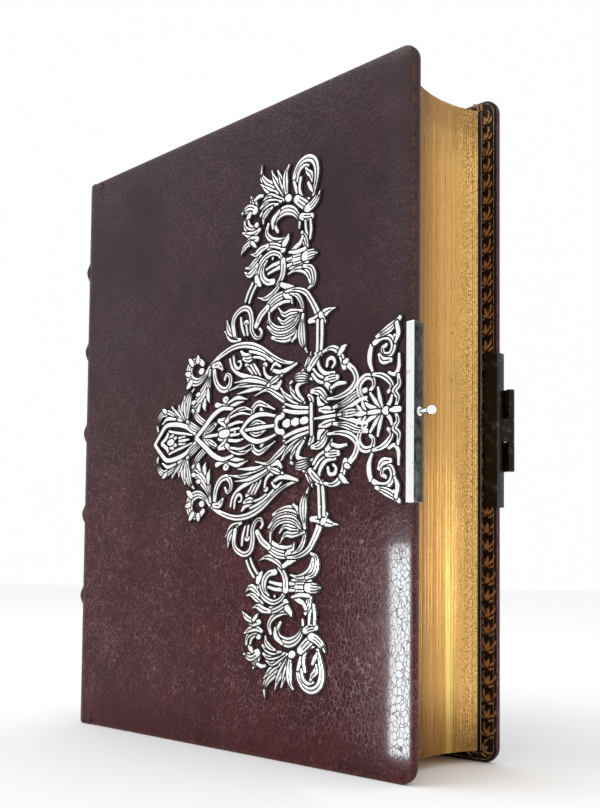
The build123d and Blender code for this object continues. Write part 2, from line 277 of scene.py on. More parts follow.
# ---- materials ----
def leather_material():
    """Dark red goatskin: flat pebbles between fine creases, polished high spots, creases painted lighter as
    painted glints, a painted reflection greying the upper cover, painted shade on the turn-ins.
    """
    material, tree, shader = new_material("burgundy_goatskin")
    place = object_place(tree)
    warp = add_node(tree, "ShaderNodeTexNoise", {"Vector": place, "Scale": 0.25, "Detail": 3.0})
    offset = add_node(tree, "ShaderNodeVectorMath", {0: warp.outputs["Color"], 1: (0.5, 0.5, 0.5)},
                      operation="SUBTRACT")
    pushed = add_node(tree, "ShaderNodeVectorMath", {0: offset.outputs[0], 1: (2.2, 2.2, 2.2), 2: place},
                      operation="MULTIPLY_ADD")
    drawn = add_node(tree, "ShaderNodeMapping", {"Vector": pushed.outputs[0], "Scale": (1.0, 1.0, 0.62),
                                                 "Rotation": (0.0, 0.25, 0.0)})
    cells = add_node(tree, "ShaderNodeTexVoronoi", {
        "Vector": drawn.outputs[0], "Scale": 0.86, "Randomness": 1.0}, feature="DISTANCE_TO_EDGE")
    small_cells = add_node(tree, "ShaderNodeTexVoronoi", {
        "Vector": pushed.outputs[0], "Scale": 1.45, "Randomness": 1.0}, feature="DISTANCE_TO_EDGE")
    crease = ramp(tree, cells.outputs["Distance"], 0.0, 0.16)
    fine_crease = ramp(tree, small_cells.outputs["Distance"], 0.0, 0.20)
    pores = noise(tree, place, 4.0, 4.0, 0.6)
    axes = axes_of(tree, place)
    height = axes[2]
    patches = noise(tree, place, 0.03, 3.0, 0.55)
    deep = plus(tree, ramp(tree, patches, 0.35, 0.65, 0.1, 0.7),
                 ramp(tree, height, 20.0, 120.0, 0.45, 0.0))
    deep = times(tree, deep, ramp(tree, height, 2.0, 24.0, 0.25, 1.0))
    grain = plus(tree, times(tree, crease, 0.65), times(tree, fine_crease, 0.25), times(tree, pores, 0.12))
    grain = times(tree, grain, deep)
    blotch = noise(tree, place, 0.06, 4.0, 0.6)
    uneven = ramp(tree, blotch, 0.3, 0.7)
    # Painted reflection: the colour runs from deep red at the tail to greyer at the head, standing in for the
    # sky mirrored in the upper cover.
    low = mix_colour(tree, uneven, (0.044, 0.0076, 0.0110, 1), (0.065, 0.0104, 0.0150, 1))
    high = mix_colour(tree, uneven, (0.031, 0.0165, 0.0195, 1), (0.041, 0.0185, 0.0225, 1))
    base = mix_colour(tree, ramp(tree, height, 30.0, 150.0), low, high)
    # Painted glints: the creases are painted a light pink, standing in for light caught along their edges;
    # more of it towards the tail.
    patchy = ramp(tree, noise(tree, place, 0.35, 3.0, 0.6), 0.36, 0.60, 0.15, 1.0)
    painted_crease_glints = times(tree, ramp(tree, cells.outputs["Distance"], 0.0, 0.06, 0.85, 0.0), deep, patchy,
                 ramp(tree, height, 40.0, 150.0, 1.0, 0.4))
    base = mix_colour(tree, painted_crease_glints, base, (0.30, 0.175, 0.185, 1))
    worn = attribute(tree, "wear")
    scuff = times(tree, worn, ramp(tree, noise(tree, place, 0.8, 4.0, 0.7), 0.40, 0.62))
    base = mix_colour(tree, scuff, base, (0.17, 0.075, 0.035, 1))
    # Painted shade: the turn-ins are painted near black for the shade in the gap between cover and text
    # block.
    inside = attribute(tree, "inside")
    base = mix_colour(tree, inside, base, (0.0055, 0.0026, 0.0020, 1))
    wear = noise(tree, place, 0.12, 3.0, 0.6)
    rough = ramp(tree, wear, 0.3, 0.7, 0.20, 0.32)
    rough = plus(tree, rough, ramp(tree, crease, 0.0, 0.5, 0.25, 0.0))
    edge_wave = times(tree, maths(tree, "SUBTRACT", noise(tree, place, 0.09, 2.0, 0.5), 0.5), 6.0)
    from_edge = plus(tree, axes[0], edge_wave)
    rim = fore_x / MM
    handled = times(
        tree, ramp(tree, from_edge, rim - 11.5, rim - 6.0),
        ramp(tree, axes[0], rim - 1.4, rim - 0.9, 1.0, 0.05),
        ramp(tree, height, 52.0, 74.0, 1.0, 0.12),
        ramp(tree, height, 4.0, 8.0),
        ramp(tree, cells.outputs["Distance"], 0.02, 0.075, 0.04, 1.0),
        ramp(tree, axes[1], -12.0, -8.0, 1.0, 0.0))
    rough = times(tree, rough, ramp(tree, handled, 0.0, 1.0, 1.0, 0.55))
    fill(tree, shader, {
        "Base Color": base, "Roughness": rough, "Normal": bump(tree, grain, 0.8, 0.00020),
        "Specular IOR Level": 0.13, "Coat Weight": handled, "Coat IOR": 1.6, "Coat Roughness": 0.14})
    return material


def gilt_material():
    """Gilded edges of the leaves: worn gold over paper, streaked along each leaf, with dark specks, a painted
    highlight streak and painted shade next to each board.
    """
    material, tree, shader = new_material("gilt_leaf_edges")
    leaves = object_place(tree, (0.012, 1.0, 0.012))
    place = object_place(tree)
    middle = mid_y / MM
    _, across, height = axes_of(tree, place)
    fine = noise(tree, leaves, 6.0, 3.0, 0.7)
    broken = noise(tree, object_place(tree, (0.1, 1.0, 0.1)), 3.0, 3.0, 0.65)
    broad = noise(tree, leaves, 0.16, 1.0, 0.5)
    gold = mix_colour(tree, ramp(tree, broad, 0.35, 0.65), (0.55, 0.285, 0.075, 1), (0.68, 0.385, 0.115, 1))
    thin = times(tree, ramp(tree, fine, 0.34, 0.48, 0.75, 0.0), ramp(tree, broken, 0.38, 0.60))
    gold = mix_colour(tree, thin, gold, (0.28, 0.115, 0.025, 1))
    rubbed_side = ramp(tree, across, middle + 9.0, middle + 14.0)
    nicks = noise(tree, object_place(tree, (1.0, 2.6, 1.1)), 1.5, 2.0, 0.6)
    dark = times(tree, ramp(tree, nicks, 0.60, 0.68, 0.0, 0.75), rubbed_side)
    specks = noise(tree, object_place(tree, (1.0, 1.0, 0.5)), 1.6, 2.0, 0.5)
    dark = maths(tree, "MAXIMUM", dark, ramp(tree, specks, 0.70, 0.75, 0.0, 0.85))
    gold = mix_colour(tree, dark, gold, (0.10, 0.042, 0.014, 1))
    # Painted shade: the gilt next to the front board is darkened for the shade under the cover's overhang.
    painted_shade_by_front = ramp(tree, across, middle - 4.0, middle + 2.2, 0.6, 0.0)
    gold = mix_colour(tree, painted_shade_by_front, gold, (0.22, 0.10, 0.035, 1))
    bright = ramp(tree, across, middle + 9.0, middle + 14.0, 0.0, 0.85)
    bright = times(tree, bright, ramp(tree, nicks, 0.40, 0.56, 1.0, 0.0))
    gold = mix_colour(tree, bright, gold, (0.95, 0.62, 0.20, 1))
    # Painted highlight: a bright yellow streak down the hollow edge, standing in for a lamp's reflection.
    waver = times(tree, maths(tree, "SUBTRACT", noise(tree, leaves, 0.9, 2.0, 0.6), 0.5), 2.0)
    drifted = plus(tree, across, waver)
    painted_highlight_streak = times(tree, ramp(tree, drifted, middle + 6.0, middle + 7.4),
                   ramp(tree, drifted, middle + 8.2, middle + 9.6, 1.0, 0.0),
                   ramp(tree, height, 45.0, 80.0, 0.95, 0.12))
    gold = mix_colour(tree, painted_highlight_streak, gold, (0.92, 0.68, 0.20, 1))
    # Painted shade: the last leaves by the back board are painted near black for the shadowed gap there.
    back_gap_shade = ramp(tree, across, middle + 16.5, middle + 16.8)
    gold = mix_colour(tree, back_gap_shade, gold, (0.012, 0.005, 0.007, 1))
    from_middle = maths(tree, "ABSOLUTE", maths(tree, "SUBTRACT", across, middle))
    page = ramp(tree, from_middle, 17.54, 17.58)
    gold = mix_colour(tree, page, gold, (0.72, 0.64, 0.49, 1))
    rub = noise(tree, place, 0.15, 3.0, 0.6)
    rough = maths(tree, "MAXIMUM", ramp(tree, rub, 0.3, 0.7, 0.18, 0.28), times(tree, page, 0.85))
    fill(tree, shader, {
        "Base Color": gold, "Metallic": ramp(tree, page, 0.0, 1.0, 0.8, 0.0), "Roughness": rough,
        "Normal": bump(tree, fine, 0.35, 0.00005)})
    return material


# ---- covers ----
corner = 4.5 * MM


def ring_points(inset, depth, side):
    """Cover outline at an inset from its three free edges: tail, fore-edge, head."""
    radius = max(min(corner - inset, mid_z - inset - 0.01 * MM), 0.05 * MM)
    right = fore_x - inset
    low, high = inset, book_height - inset
    along = np.linspace(0, 1, 57)
    up = np.linspace(0, 1, 77)[1:-1]
    turn = np.radians(np.linspace(-90, 0, 9))
    tail = [(joint_x + (right - radius - joint_x) * t, low) for t in along[:-1]]
    tail += [(right - radius + radius * math.cos(a), low + radius + radius * math.sin(a)) for a in turn]
    middle = [(right, low + radius + (high - low - 2 * radius) * t) for t in up]
    head = [(x, book_height - z) for x, z in reversed(tail)]
    y = front_y + depth if side < 0 else back_y - depth
    return [(x, y, z) for x, z in tail + middle + head]


def edge_profile(thickness, inward):
    """Cover section from the middle of the outer face round the edge to the end of the turn-in.
    inward is the leather's own thickness, 0 for its outside."""
    flat = [(inset, 0) for inset in (94.8, 80, 64, 50, 38, 28, 20, 14, 10)]
    flat += [(7, 0.02), (5, 0.05), (3.4, 0.10), (2.2, 0.17), (1.4, 0.26), (0.9, 0.37)]
    round_over = [(0.9 - 0.9 * math.sin(math.radians(a)), 1.27 - 0.9 * math.cos(math.radians(a)))
                  for a in (18, 36, 54, 72, 90)]
    under = [(0.0, thickness - 0.7), (0.05, thickness - 0.4), (0.2, thickness - 0.17),
             (0.45, thickness - 0.04)]
    under += [(inset, thickness) for inset in (0.8, 1.6, 3, 6, 11)]
    outside = flat + round_over + under
    if not inward:
        return outside
    shrunk = [(max(d, inward), min(max(h, 0) + inward, thickness - 0.35)) for d, h in outside]
    shrunk[-1] = (11, thickness - 0.35)
    return shrunk


def waviness(x, z):
    """Slight unevenness of a covered board, in metres."""
    u, v = x / MM, z / MM
    return MM * (0.05 * np.sin(u * 0.11 + 1.3 * np.sin(v * 0.05)) + 0.04 * np.sin(v * 0.13 + u * 0.04))


def cover_piece(name, side, material):
    """Leather of a cover: an outer and an inner skin, joined at the turn-in's end and along the joint."""
    thickness = cover_depth / MM
    skins = []
    for inward in (0, 0.4):
        rows = []
        for inset, depth in edge_profile(thickness, inward):
            row = np.array(ring_points(inset * MM, depth * MM, side))
            away = np.clip((inset - 2) / 8, 0, 1) * (1 if depth < thickness / 2 else 0)
            row[:, 1] += away * waviness(row[:, 0], row[:, 2]) * 0.5
            rows.append(row)
        skins.append(rows)
    count = len(skins[0][0])
    rows_each = len(skins[0])
    points = np.concatenate([np.concatenate(rows) for rows in skins])
    faces = []
    for skin in range(2):
        base = skin * rows_each * count
        skin_faces = sheet_faces(rows_each, count, base) + lid_faces(count, base)
        faces += [face if skin == 0 else face[::-1] for face in skin_faces]
    other = rows_each * count
    last = (rows_each - 1) * count
    for i in range(count - 1):
        faces.append((last + i, last + i + 1, other + last + i + 1, other + last + i))
    for r in range(rows_each - 1):
        for end, flip in ((0, False), (count - 1, True)):
            a = r * count + end
            quad = (a, a + count, other + a + count, other + a)
            faces.append(quad[::-1] if flip else quad)
    faces.append((0, other, other + count - 1, count - 1))
    made = mesh_piece(name, points, faces, material)
    section = edge_profile(thickness, 0)
    worn = [1.0 if 0.03 < d < 0.5 and h > thickness / 2 else 0.35 if d < 0.95 and 0.3 < h < 0.8 else 0.0
            for d, h in section]
    # Painted shade: the turn-in's rows are marked for the near-black paint that stands in for the shade
    # inside the cover.
    turn_in_shade = [1.0 if d > 0.15 and h > thickness / 2 else 0.0 for d, h in section]
    for word, levels in (("wear", worn), ("inside", turn_in_shade)):
        layer = made.data.attributes.new(word, "FLOAT", "POINT")
        values = np.repeat(np.array(levels + [0.0] * rows_each), count)
        layer.data.foreach_set("value", values.astype(np.float32))
    recalculate_outward(made)
    return made


# ---- the rounded back ----
shoulder_radius = 5 * MM
shoulder_x = joint_x - 0.15 * MM
half_back = (back_y - front_y) / 2 - 0.1 * MM
shoulder_y = half_back - shoulder_radius
spine_depth = 9.5 * MM
crown_angle = 2 * math.atan((spine_depth - shoulder_radius) / shoulder_y)
crown_radius = shoulder_y / math.sin(crown_angle) + shoulder_radius
crown_x = shoulder_x - spine_depth + crown_radius
band_heights = [44.0, 72.5, 101.0, 130.0, 158.5]


def back_point(angle, inset):
    """Point of the back whose outward normal leans angle from -X; negative angles face front."""
    lean = abs(angle)
    if lean <= crown_angle:
        radius = crown_radius - inset
        x, y = crown_x - radius * math.cos(lean), radius * math.sin(lean)
    else:
        radius = shoulder_radius - inset
        x, y = shoulder_x - radius * math.cos(lean), shoulder_y + radius * math.sin(lean)
    return x, mid_y + math.copysign(y, angle)


def back_angles():
    """Angles round the back from shoulder to shoulder, evenly spaced on each of its arcs."""
    crown = np.linspace(0, crown_angle, 15)
    shoulder = np.linspace(crown_angle, math.pi / 2, 15)[1:]
    half_set = np.concatenate([crown, shoulder])
    return np.concatenate([-half_set[:0:-1], half_set])


def smooth_step(value, low, high):
    t = np.clip((value - low) / (high - low), 0, 1)
    return t * t * (3 - 2 * t)


def spine_piece(material):
    """Leather over the back, with raised bands that die away at the shoulders and curled headcaps."""
    tall = book_height / MM
    heights = set(np.arange(1.5, tall - 1.4, 2.5))
    for band in band_heights:
        heights |= {band + d for d in np.linspace(-4, 4, 25)}
    heights = [z for z in sorted(heights) if 1.2 < z < tall - 1.2]
    cap = [(2.2, 1.0), (2.4, 0.7), (2.2, 0.25), (1.7, 0.05), (1.0, 0.0), (0.5, 0.08), (0.15, 0.35),
           (0.03, 0.8)]
    outer = cap + [(0.0, z) for z in heights] + [(d, tall - z) for d, z in reversed(cap)]
    under_cap = [(1.4, 1.0), (0.6, 1.1), (0.5, 2.0)]
    inner = [(d, tall - z) for d, z in under_cap] + [(0.5, tall / 2)] + under_cap[::-1]
    profile = outer + inner
    points = []
    angles = back_angles()
    for angle in angles:
        lean = abs(math.degrees(angle))
        fade = 1 - smooth_step(lean, 50, 74)
        curl = 1 - smooth_step(lean, 55, 85)
        tuck = 0.06 * smooth_step(lean, 78, 90)
        for k, (inset, z) in enumerate(profile):
            rise = 0.0
            if k < len(outer):
                for band in band_heights:
                    away = abs(z - band) / 3.4
                    if away < 1:
                        rise = max(rise, 0.95 * (0.5 + 0.5 * math.cos(math.pi * away)) ** 0.62)
                    elif away < 1.5:
                        rise = min(rise, -0.12 * math.sin(math.pi * (away - 1) / 0.5)) if rise == 0 else rise
            depth = inset * (curl if inset > 0.5 else 1) + (0.5 * (1 - curl) if inset > 0.5 else 0)
            x, y = back_point(angle, (depth + tuck - rise * fade) * MM)
            points.append((x, y, z * MM))
    faces = tube_faces(len(angles), len(profile))
    return closed_piece("spine_leather_moulded", points, faces, material)


def pressed_cords(material):
    """Sewing cords flattened under the leather of the raised bands."""
    points, faces = [], []
    angles = [a for a in back_angles() if abs(math.degrees(a)) < 47]
    section = [(0.62 - 1.0 * math.sin(t), 1.5 * math.cos(t)) for t in np.linspace(0, math.pi, 9)]
    for band in band_heights:
        faces += tube_faces(len(angles), len(section), len(points))
        for angle in angles:
            for inset, up in section:
                x, y = back_point(angle, inset * MM)
                points.append((x, y, (band + up) * MM))
    return closed_piece("sewing_cords_pressed", points, faces, material)


def joint_strip(name, side, material):
    """Leather that bends along the hinge line, from the shoulder of the back on to the cover."""
    section = [back_point(side * math.radians(lean), -0.03 * MM) for lean in (62, 68, 74, 80, 86)]
    face_y = front_y if side < 0 else back_y
    for x, lift in ((-0.6, 0.04), (-0.2, 0.04), (0.2, 0.04), (0.6, 0.035), (1.0, 0.03), (1.8, 0.015),
                    (2.8, 0.0), (3.8, -0.03), (4.8, -0.08)):
        section.append((joint_x + x * MM, face_y + side * lift * MM))
    loop = section + [(x, y - side * 0.25 * MM) for x, y in reversed(section)]
    heights = np.linspace(0.9 * MM, book_height - 0.9 * MM, 90)
    points = [(x, y, z) for z in heights for x, y in loop]
    return closed_piece(name, points, tube_faces(len(heights), len(loop)), material)


# ---- text block ----
def text_block_piece(material):
    """Slices across the thickness: each leaf edge stands a little in or out of its neighbours."""
    rng = np.random.default_rng(7)
    half_text = (35.2 / 2) * MM
    edge_x = text_hi[0]
    hollow = 5.0 * MM
    arc_radius = (half_text ** 2 + hollow ** 2) / (2 * hollow)
    inset = 1.2 * MM
    across = np.linspace(-half_text, half_text, 391)
    ragged = rng.normal(0, 0.028, len(across))
    gathering = 13
    for j in range(0, len(across), gathering):
        ragged[j:j + gathering] += rng.normal(0, 0.035)
        ragged[j] -= 0.07
    ragged_head = rng.normal(0, 0.02, len(across))
    shoulder = np.linspace(half_text + 0.05 * MM, half_back - inset - 0.05 * MM, 6)
    slices = [(-s, None) for s in reversed(shoulder)] + list(zip(across, range(len(across))))
    slices += [(s, None) for s in shoulder]
    low, high = text_lo[2], text_hi[2]
    points = []
    lengths = np.linspace(0, 1, 11)[:-1]
    for y, j in slices:
        spine_x = back_x_at(y, inset)
        if j is None:
            fore = shoulder_x + 0.02 * MM
            ragged_end = 0.0
        else:
            fore = edge_x - (math.sqrt(arc_radius ** 2 - y ** 2) - (arc_radius - hollow)) + ragged[j] * MM
            ragged_end = ragged_head[j] * MM
        deep = fore - spine_x
        loop = [(fore, low + (high - low) * t) for t in lengths]
        loop += [(fore - deep * t, high + ragged_end * math.sin(math.pi * t) ** 0.5) for t in lengths]
        loop += [(spine_x, high + (low - high) * t) for t in (0, 0.5)]
        loop += [(spine_x + deep * t, low - ragged_end * math.sin(math.pi * t) ** 0.5) for t in lengths]
        points += [(x, mid_y + y, z) for x, z in loop]
    made = closed_piece("gilt_text_block", points, tube_faces(len(slices), len(loop)), material)
    for face in made.data.polygons:
        if abs(face.normal.y) > 0.9:
            face.use_smooth = False
    return made


def back_x_at(y, inset):
    """Where the inside of the back lies at a distance from the middle of the thickness."""
    away = abs(y)
    radius = crown_radius - inset
    if away <= radius * math.sin(crown_angle):
        return crown_x - math.sqrt(radius ** 2 - away ** 2)
    small = shoulder_radius - inset
    return shoulder_x - math.sqrt(max(small ** 2 - (away - shoulder_y) ** 2, 0))


# ---- cast ornament ----
# Strokes of the scrollwork: a path of (distance in from the fore-edge, height above the tail edge)
# in millimetres, half widths at its start, middle and end, and how many engraved lines run along it.
# Only the upper half is drawn. The lower half is its mirror image.
middle_height = 95.3

top_curl = [
    ([(42.4, 165.0), (41.7, 168.0), (39.7, 170.3), (37.0, 170.8), (34.6, 169.4), (33.6, 166.4), (34.0, 163.0),
      (35.0, 159.6)], (0.6, 1.05, 0.5), 1),
    ([(41.0, 165.2), (40.2, 167.9), (38.4, 169.0), (36.7, 168.6)], (0.4, 0.5, 0.4), 0),
    ([(37.6, 168.0), (36.8, 166.6), (35.8, 165.6), (35.4, 163.6)], (0.4, 0.9, 0.3), 1),
    ([(36.8, 163.4), (36.0, 161.8), (35.2, 160.4)], (0.5, 0.6, 0.3), 0),
    ([(42.2, 165.3), (41.2, 162.4), (40.2, 160.4)], (0.5, 0.6, 0.6), 0),
    ([(39.6, 165.7), (40.1, 163.2), (39.6, 160.8), (38.2, 159.3), (36.4, 158.8)], (0.5, 0.5, 0.3), 0),
    ([(41.2, 159.9), (39.4, 158.4), (36.6, 156.1)], (1.2, 1.4, 1.3), 2),
    ([(37.2, 156.0), (35.2, 156.8), (33.6, 158.2), (32.4, 160.0)], (1.2, 1.1, 0.15), 2),
]
acanthus = [
    ([(45.4, 161.6), (49.0, 165.2), (52.6, 167.6), (54.6, 170.8), (54.4, 173.8)], (0.6, 1.5, 0.15), 2),
    ([(48.0, 163.6), (51.6, 165.2), (54.9, 168.2)], (0.5, 0.9, 0.2), 1),
    ([(45.6, 162.0), (48.0, 166.0), (49.6, 168.8), (50.4, 171.0)], (0.5, 1.0, 0.2), 1),
    ([(45.0, 162.0), (46.4, 166.0), (47.2, 168.4), (48.0, 170.2)], (0.5, 0.8, 0.3), 1),
    ([(44.6, 161.6), (45.0, 165.4), (44.9, 168.4), (43.6, 170.5)], (0.5, 1.0, 0.35), 1),
    ([(44.4, 161.0), (43.4, 160.6)], (0.9, 1.1, 0.8), 0),
    ([(46.0, 160.8), (49.0, 162.4), (51.6, 163.8), (53.6, 163.0)], (0.5, 0.8, 0.4), 1),
    ([(46.8, 160.6), (50.0, 161.6), (53.0, 162.0), (55.0, 161.0)], (0.4, 0.8, 0.4), 1),
    ([(48.0, 160.2), (51.0, 160.5), (53.8, 159.8), (55.2, 158.6)], (0.3, 0.8, 0.4), 1),
    ([(50.4, 159.8), (52.4, 159.0), (53.8, 157.6), (54.0, 156.0)], (0.4, 0.8, 0.3), 1),
]
side_sprig = [
    ([(57.2, 160.9), (57.9, 163.2), (59.0, 165.6)], (1.3, 1.3, 0.3), 2),
    ([(57.4, 161.0), (60.0, 162.2), (62.8, 161.5)], (1.2, 1.3, 0.4), 2),
    ([(57.4, 164.2), (55.8, 164.8), (54.2, 164.6)], (0.5, 0.6, 0.4), 0),
    ([(59.4, 160.6), (60.6, 159.2)], (0.6, 0.8, 0.5), 0),
    ([(61.8, 158.6), (61.4, 156.6), (59.8, 155.4), (57.4, 155.0), (56.4, 156.4)], (0.4, 0.8, 0.5), 1),
    ([(57.0, 156.4), (56.4, 156.2)], (0.7, 0.8, 0.5), 0),
    ([(60.2, 158.4), (59.6, 157.0), (58.4, 156.2)], (0.4, 0.4, 0.3), 0),
    ([(55.6, 154.6), (58.0, 153.8), (60.2, 154.2), (62.6, 155.4)], (0.6, 1.0, 0.3), 1),
    ([(56.6, 152.0), (59.0, 152.2), (61.6, 151.4)], (0.8, 1.1, 0.6), 1),
    ([(59.4, 151.6), (61.6, 150.8), (63.4, 148.9)], (0.8, 0.8, 0.15), 1),
    ([(58.8, 151.4), (57.8, 150.4), (57.0, 149.6)], (0.6, 0.6, 0.2), 0),
]
crescents = [
    ([(48.2, 152.6), (49.4, 154.8), (48.6, 157.0), (45.4, 158.2), (42.0, 157.0), (39.9, 154.2),
      (39.8, 151.6)],
     (0.5, 1.45, 0.35), 2),
    ([(50.2, 154.2), (50.0, 156.6), (47.6, 158.6)], (0.4, 0.8, 0.5), 0),
    ([(52.0, 155.8), (52.6, 153.2), (50.6, 150.8), (47.4, 149.8), (45.0, 150.0), (43.7, 151.0)],
     (0.5, 0.9, 0.3), 1),
    ([(52.4, 149.2), (49.6, 148.4), (46.2, 146.8)], (1.1, 1.2, 1.0), 2),
    ([(45.6, 148.4), (44.6, 149.4), (44.0, 150.6)], (1.0, 0.8, 0.3), 0),
    ([(38.8, 154.6), (37.0, 153.9), (35.2, 153.7)], (1.0, 1.0, 0.9), 2),
    ([(37.5, 152.9), (37.3, 150.6), (36.8, 148.6)], (0.4, 0.45, 0.4), 0),
    ([(35.6, 152.9), (35.4, 150.0), (35.8, 147.4)], (0.4, 0.5, 0.4), 0),
    ([(38.8, 149.9), (37.8, 147.6), (37.2, 145.4)], (0.5, 1.0, 0.8), 2),
    ([(43.4, 145.2), (41.4, 146.2), (39.6, 147.0), (38.6, 148.6)], (0.4, 0.7, 0.5), 0),
]
tulip = [
    ([(42.4, 142.5), (39.4, 142.5), (36.8, 142.5)], (1.6, 1.7, 1.6), 2),
    ([(37.2, 142.6), (35.2, 142.8), (33.0, 142.6)], (1.6, 1.35, 0.15), 3),
    ([(43.4, 145.3), (40.6, 144.7), (37.4, 144.9)], (0.4, 0.6, 0.6), 0),
    ([(43.4, 140.6), (40.4, 140.2), (36.6, 140.5)], (0.4, 0.6, 0.6), 0),
    ([(47.4, 143.4), (45.2, 143.3), (42.6, 143.4)], (0.4, 0.5, 0.4), 0),
    ([(46.4, 141.2), (44.6, 141.4), (42.6, 141.6)], (0.4, 0.5, 0.4), 0),
    ([(43.9, 139.0), (41.2, 139.6), (38.4, 139.0), (36.4, 137.2), (35.4, 134.6)], (0.25, 0.9, 0.6), 1),
    ([(38.0, 139.9), (35.4, 139.0), (34.2, 136.8), (34.3, 134.2), (36.2, 133.1)], (0.5, 0.8, 0.4), 1),
]
ring_scroll = [
    ([(56.8, 138.6), (56.8, 142.0), (55.0, 145.2), (51.4, 146.8), (48.2, 145.8), (46.4, 143.4)],
     (0.8, 0.8, 0.6), 1),
    ([(50.4, 138.1), (52.8, 138.5), (54.6, 140.4), (54.6, 143.0), (52.8, 144.9)], (0.9, 0.9, 0.3), 1),
    ([(53.0, 142.4), (50.0, 143.1), (46.8, 142.9)], (0.4, 0.55, 0.8), 0),
    ([(52.4, 140.9), (49.6, 141.5), (46.8, 141.9)], (0.4, 0.5, 0.7), 0),
    ([(46.4, 143.4), (46.3, 141.0), (46.9, 138.8), (48.6, 136.8)], (0.9, 0.9, 0.7), 1),
    ([(56.8, 144.6), (58.6, 143.0), (60.4, 142.4), (62.0, 143.6)], (0.6, 1.0, 0.2), 1),
    ([(55.4, 147.2), (57.6, 146.0), (59.8, 144.6), (61.6, 144.8)], (0.5, 0.8, 0.3), 1),
    ([(52.6, 149.4), (55.2, 149.0), (57.4, 148.0), (59.4, 148.5)], (0.7, 1.0, 0.2), 1),
    ([(57.2, 140.8), (56.6, 139.2), (55.6, 138.2)], (0.8, 1.0, 0.5), 0),
    ([(57.4, 138.4), (59.2, 136.0), (60.2, 133.9)], (0.45, 0.45, 0.4), 0),
    ([(58.8, 139.4), (60.6, 137.0), (61.8, 134.6)], (0.45, 0.45, 0.4), 0),
]
collar = [
    ([(56.2, 135.4), (53.6, 134.5), (51.2, 134.9), (48.8, 136.2), (47.2, 137.6)], (0.15, 0.9, 0.6), 1),
    ([(46.6, 137.2), (44.6, 136.2), (42.2, 135.7)], (0.7, 0.8, 0.3), 0),
    ([(52.4, 131.9), (48.8, 133.6), (44.6, 134.3)], (1.0, 1.25, 1.0), 2),
    ([(45.0, 134.0), (43.6, 132.4), (42.4, 130.7)], (1.0, 0.9, 0.2), 0),
    ([(57.0, 127.0), (55.0, 129.8), (52.4, 131.6)], (0.8, 0.95, 0.9), 1),
    ([(52.2, 127.2), (51.2, 130.0), (49.0, 131.3), (46.0, 131.9), (43.6, 131.6)], (0.4, 0.6, 0.4), 0),
    ([(45.0, 134.8), (41.2, 134.6), (37.6, 133.0), (35.4, 130.2), (33.8, 127.4), (32.6, 124.8)],
     (0.4, 0.8, 1.0), 1),
    ([(43.2, 133.8), (40.6, 132.6), (39.1, 130.4), (38.5, 128.0)], (0.3, 0.7, 0.5), 1),
    ([(35.9, 124.3), (33.6, 124.5), (31.2, 125.3), (29.0, 126.0), (26.7, 126.2)], (0.8, 1.2, 0.2), 1),
    ([(32.0, 125.4), (31.2, 124.0), (30.4, 123.0)], (0.8, 0.7, 0.4), 0),
    ([(33.1, 123.8), (33.2, 119.0), (33.4, 114.2)], (0.5, 0.5, 0.5), 0),
    ([(31.5, 123.4), (31.6, 118.6), (32.0, 114.0)], (0.55, 0.55, 0.55), 0),
]
shell_leaf = [
    ([(38.8, 127.0), (43.0, 127.6), (45.8, 127.4), (47.9, 129.9)], (0.5, 0.9, 0.15), 1),
    ([(40.0, 126.2), (43.4, 125.6), (46.0, 125.0), (48.0, 126.8)], (0.4, 0.8, 0.3), 1),
    ([(39.4, 126.2), (42.2, 124.2), (45.4, 123.3), (48.8, 124.0), (51.3, 126.4), (51.6, 129.2)],
     (0.4, 0.75, 0.35), 1),
    ([(39.0, 125.8), (41.6, 122.7), (45.2, 121.6), (49.2, 122.4), (52.2, 125.0)], (0.4, 0.85, 0.4), 1),
    ([(38.8, 125.4), (41.0, 121.2), (44.6, 119.9), (48.0, 120.4), (50.4, 121.4)], (0.4, 0.9, 0.5), 1),
    ([(38.8, 125.2), (40.2, 121.2), (42.6, 119.0)], (0.4, 0.8, 0.4), 0),
    ([(38.4, 125.8), (39.0, 121.4), (38.6, 117.8), (36.9, 114.6)], (0.5, 1.35, 0.2), 2),
]
side_scroll = [
    ([(63.6, 124.4), (67.4, 125.4), (70.2, 128.2)], (0.5, 0.9, 0.2), 1),
    ([(65.4, 125.6), (68.2, 127.8), (69.2, 131.4)], (0.5, 0.9, 0.2), 1),
    ([(66.0, 126.4), (66.6, 130.2), (65.2, 132.6), (62.2, 133.8), (59.6, 132.6), (58.7, 129.4), (58.8, 126.6),
      (57.4, 124.2), (55.6, 123.6), (54.6, 125.0), (55.4, 126.2)], (0.7, 0.85, 0.45), 1),
    ([(63.2, 131.0), (62.8, 128.2), (61.8, 125.6)], (0.45, 0.5, 0.4), 0),
    ([(61.2, 129.2), (60.6, 128.9)], (0.8, 0.95, 0.7), 0),
    ([(61.0, 128.4), (60.4, 125.4)], (0.4, 0.4, 0.4), 0),
]
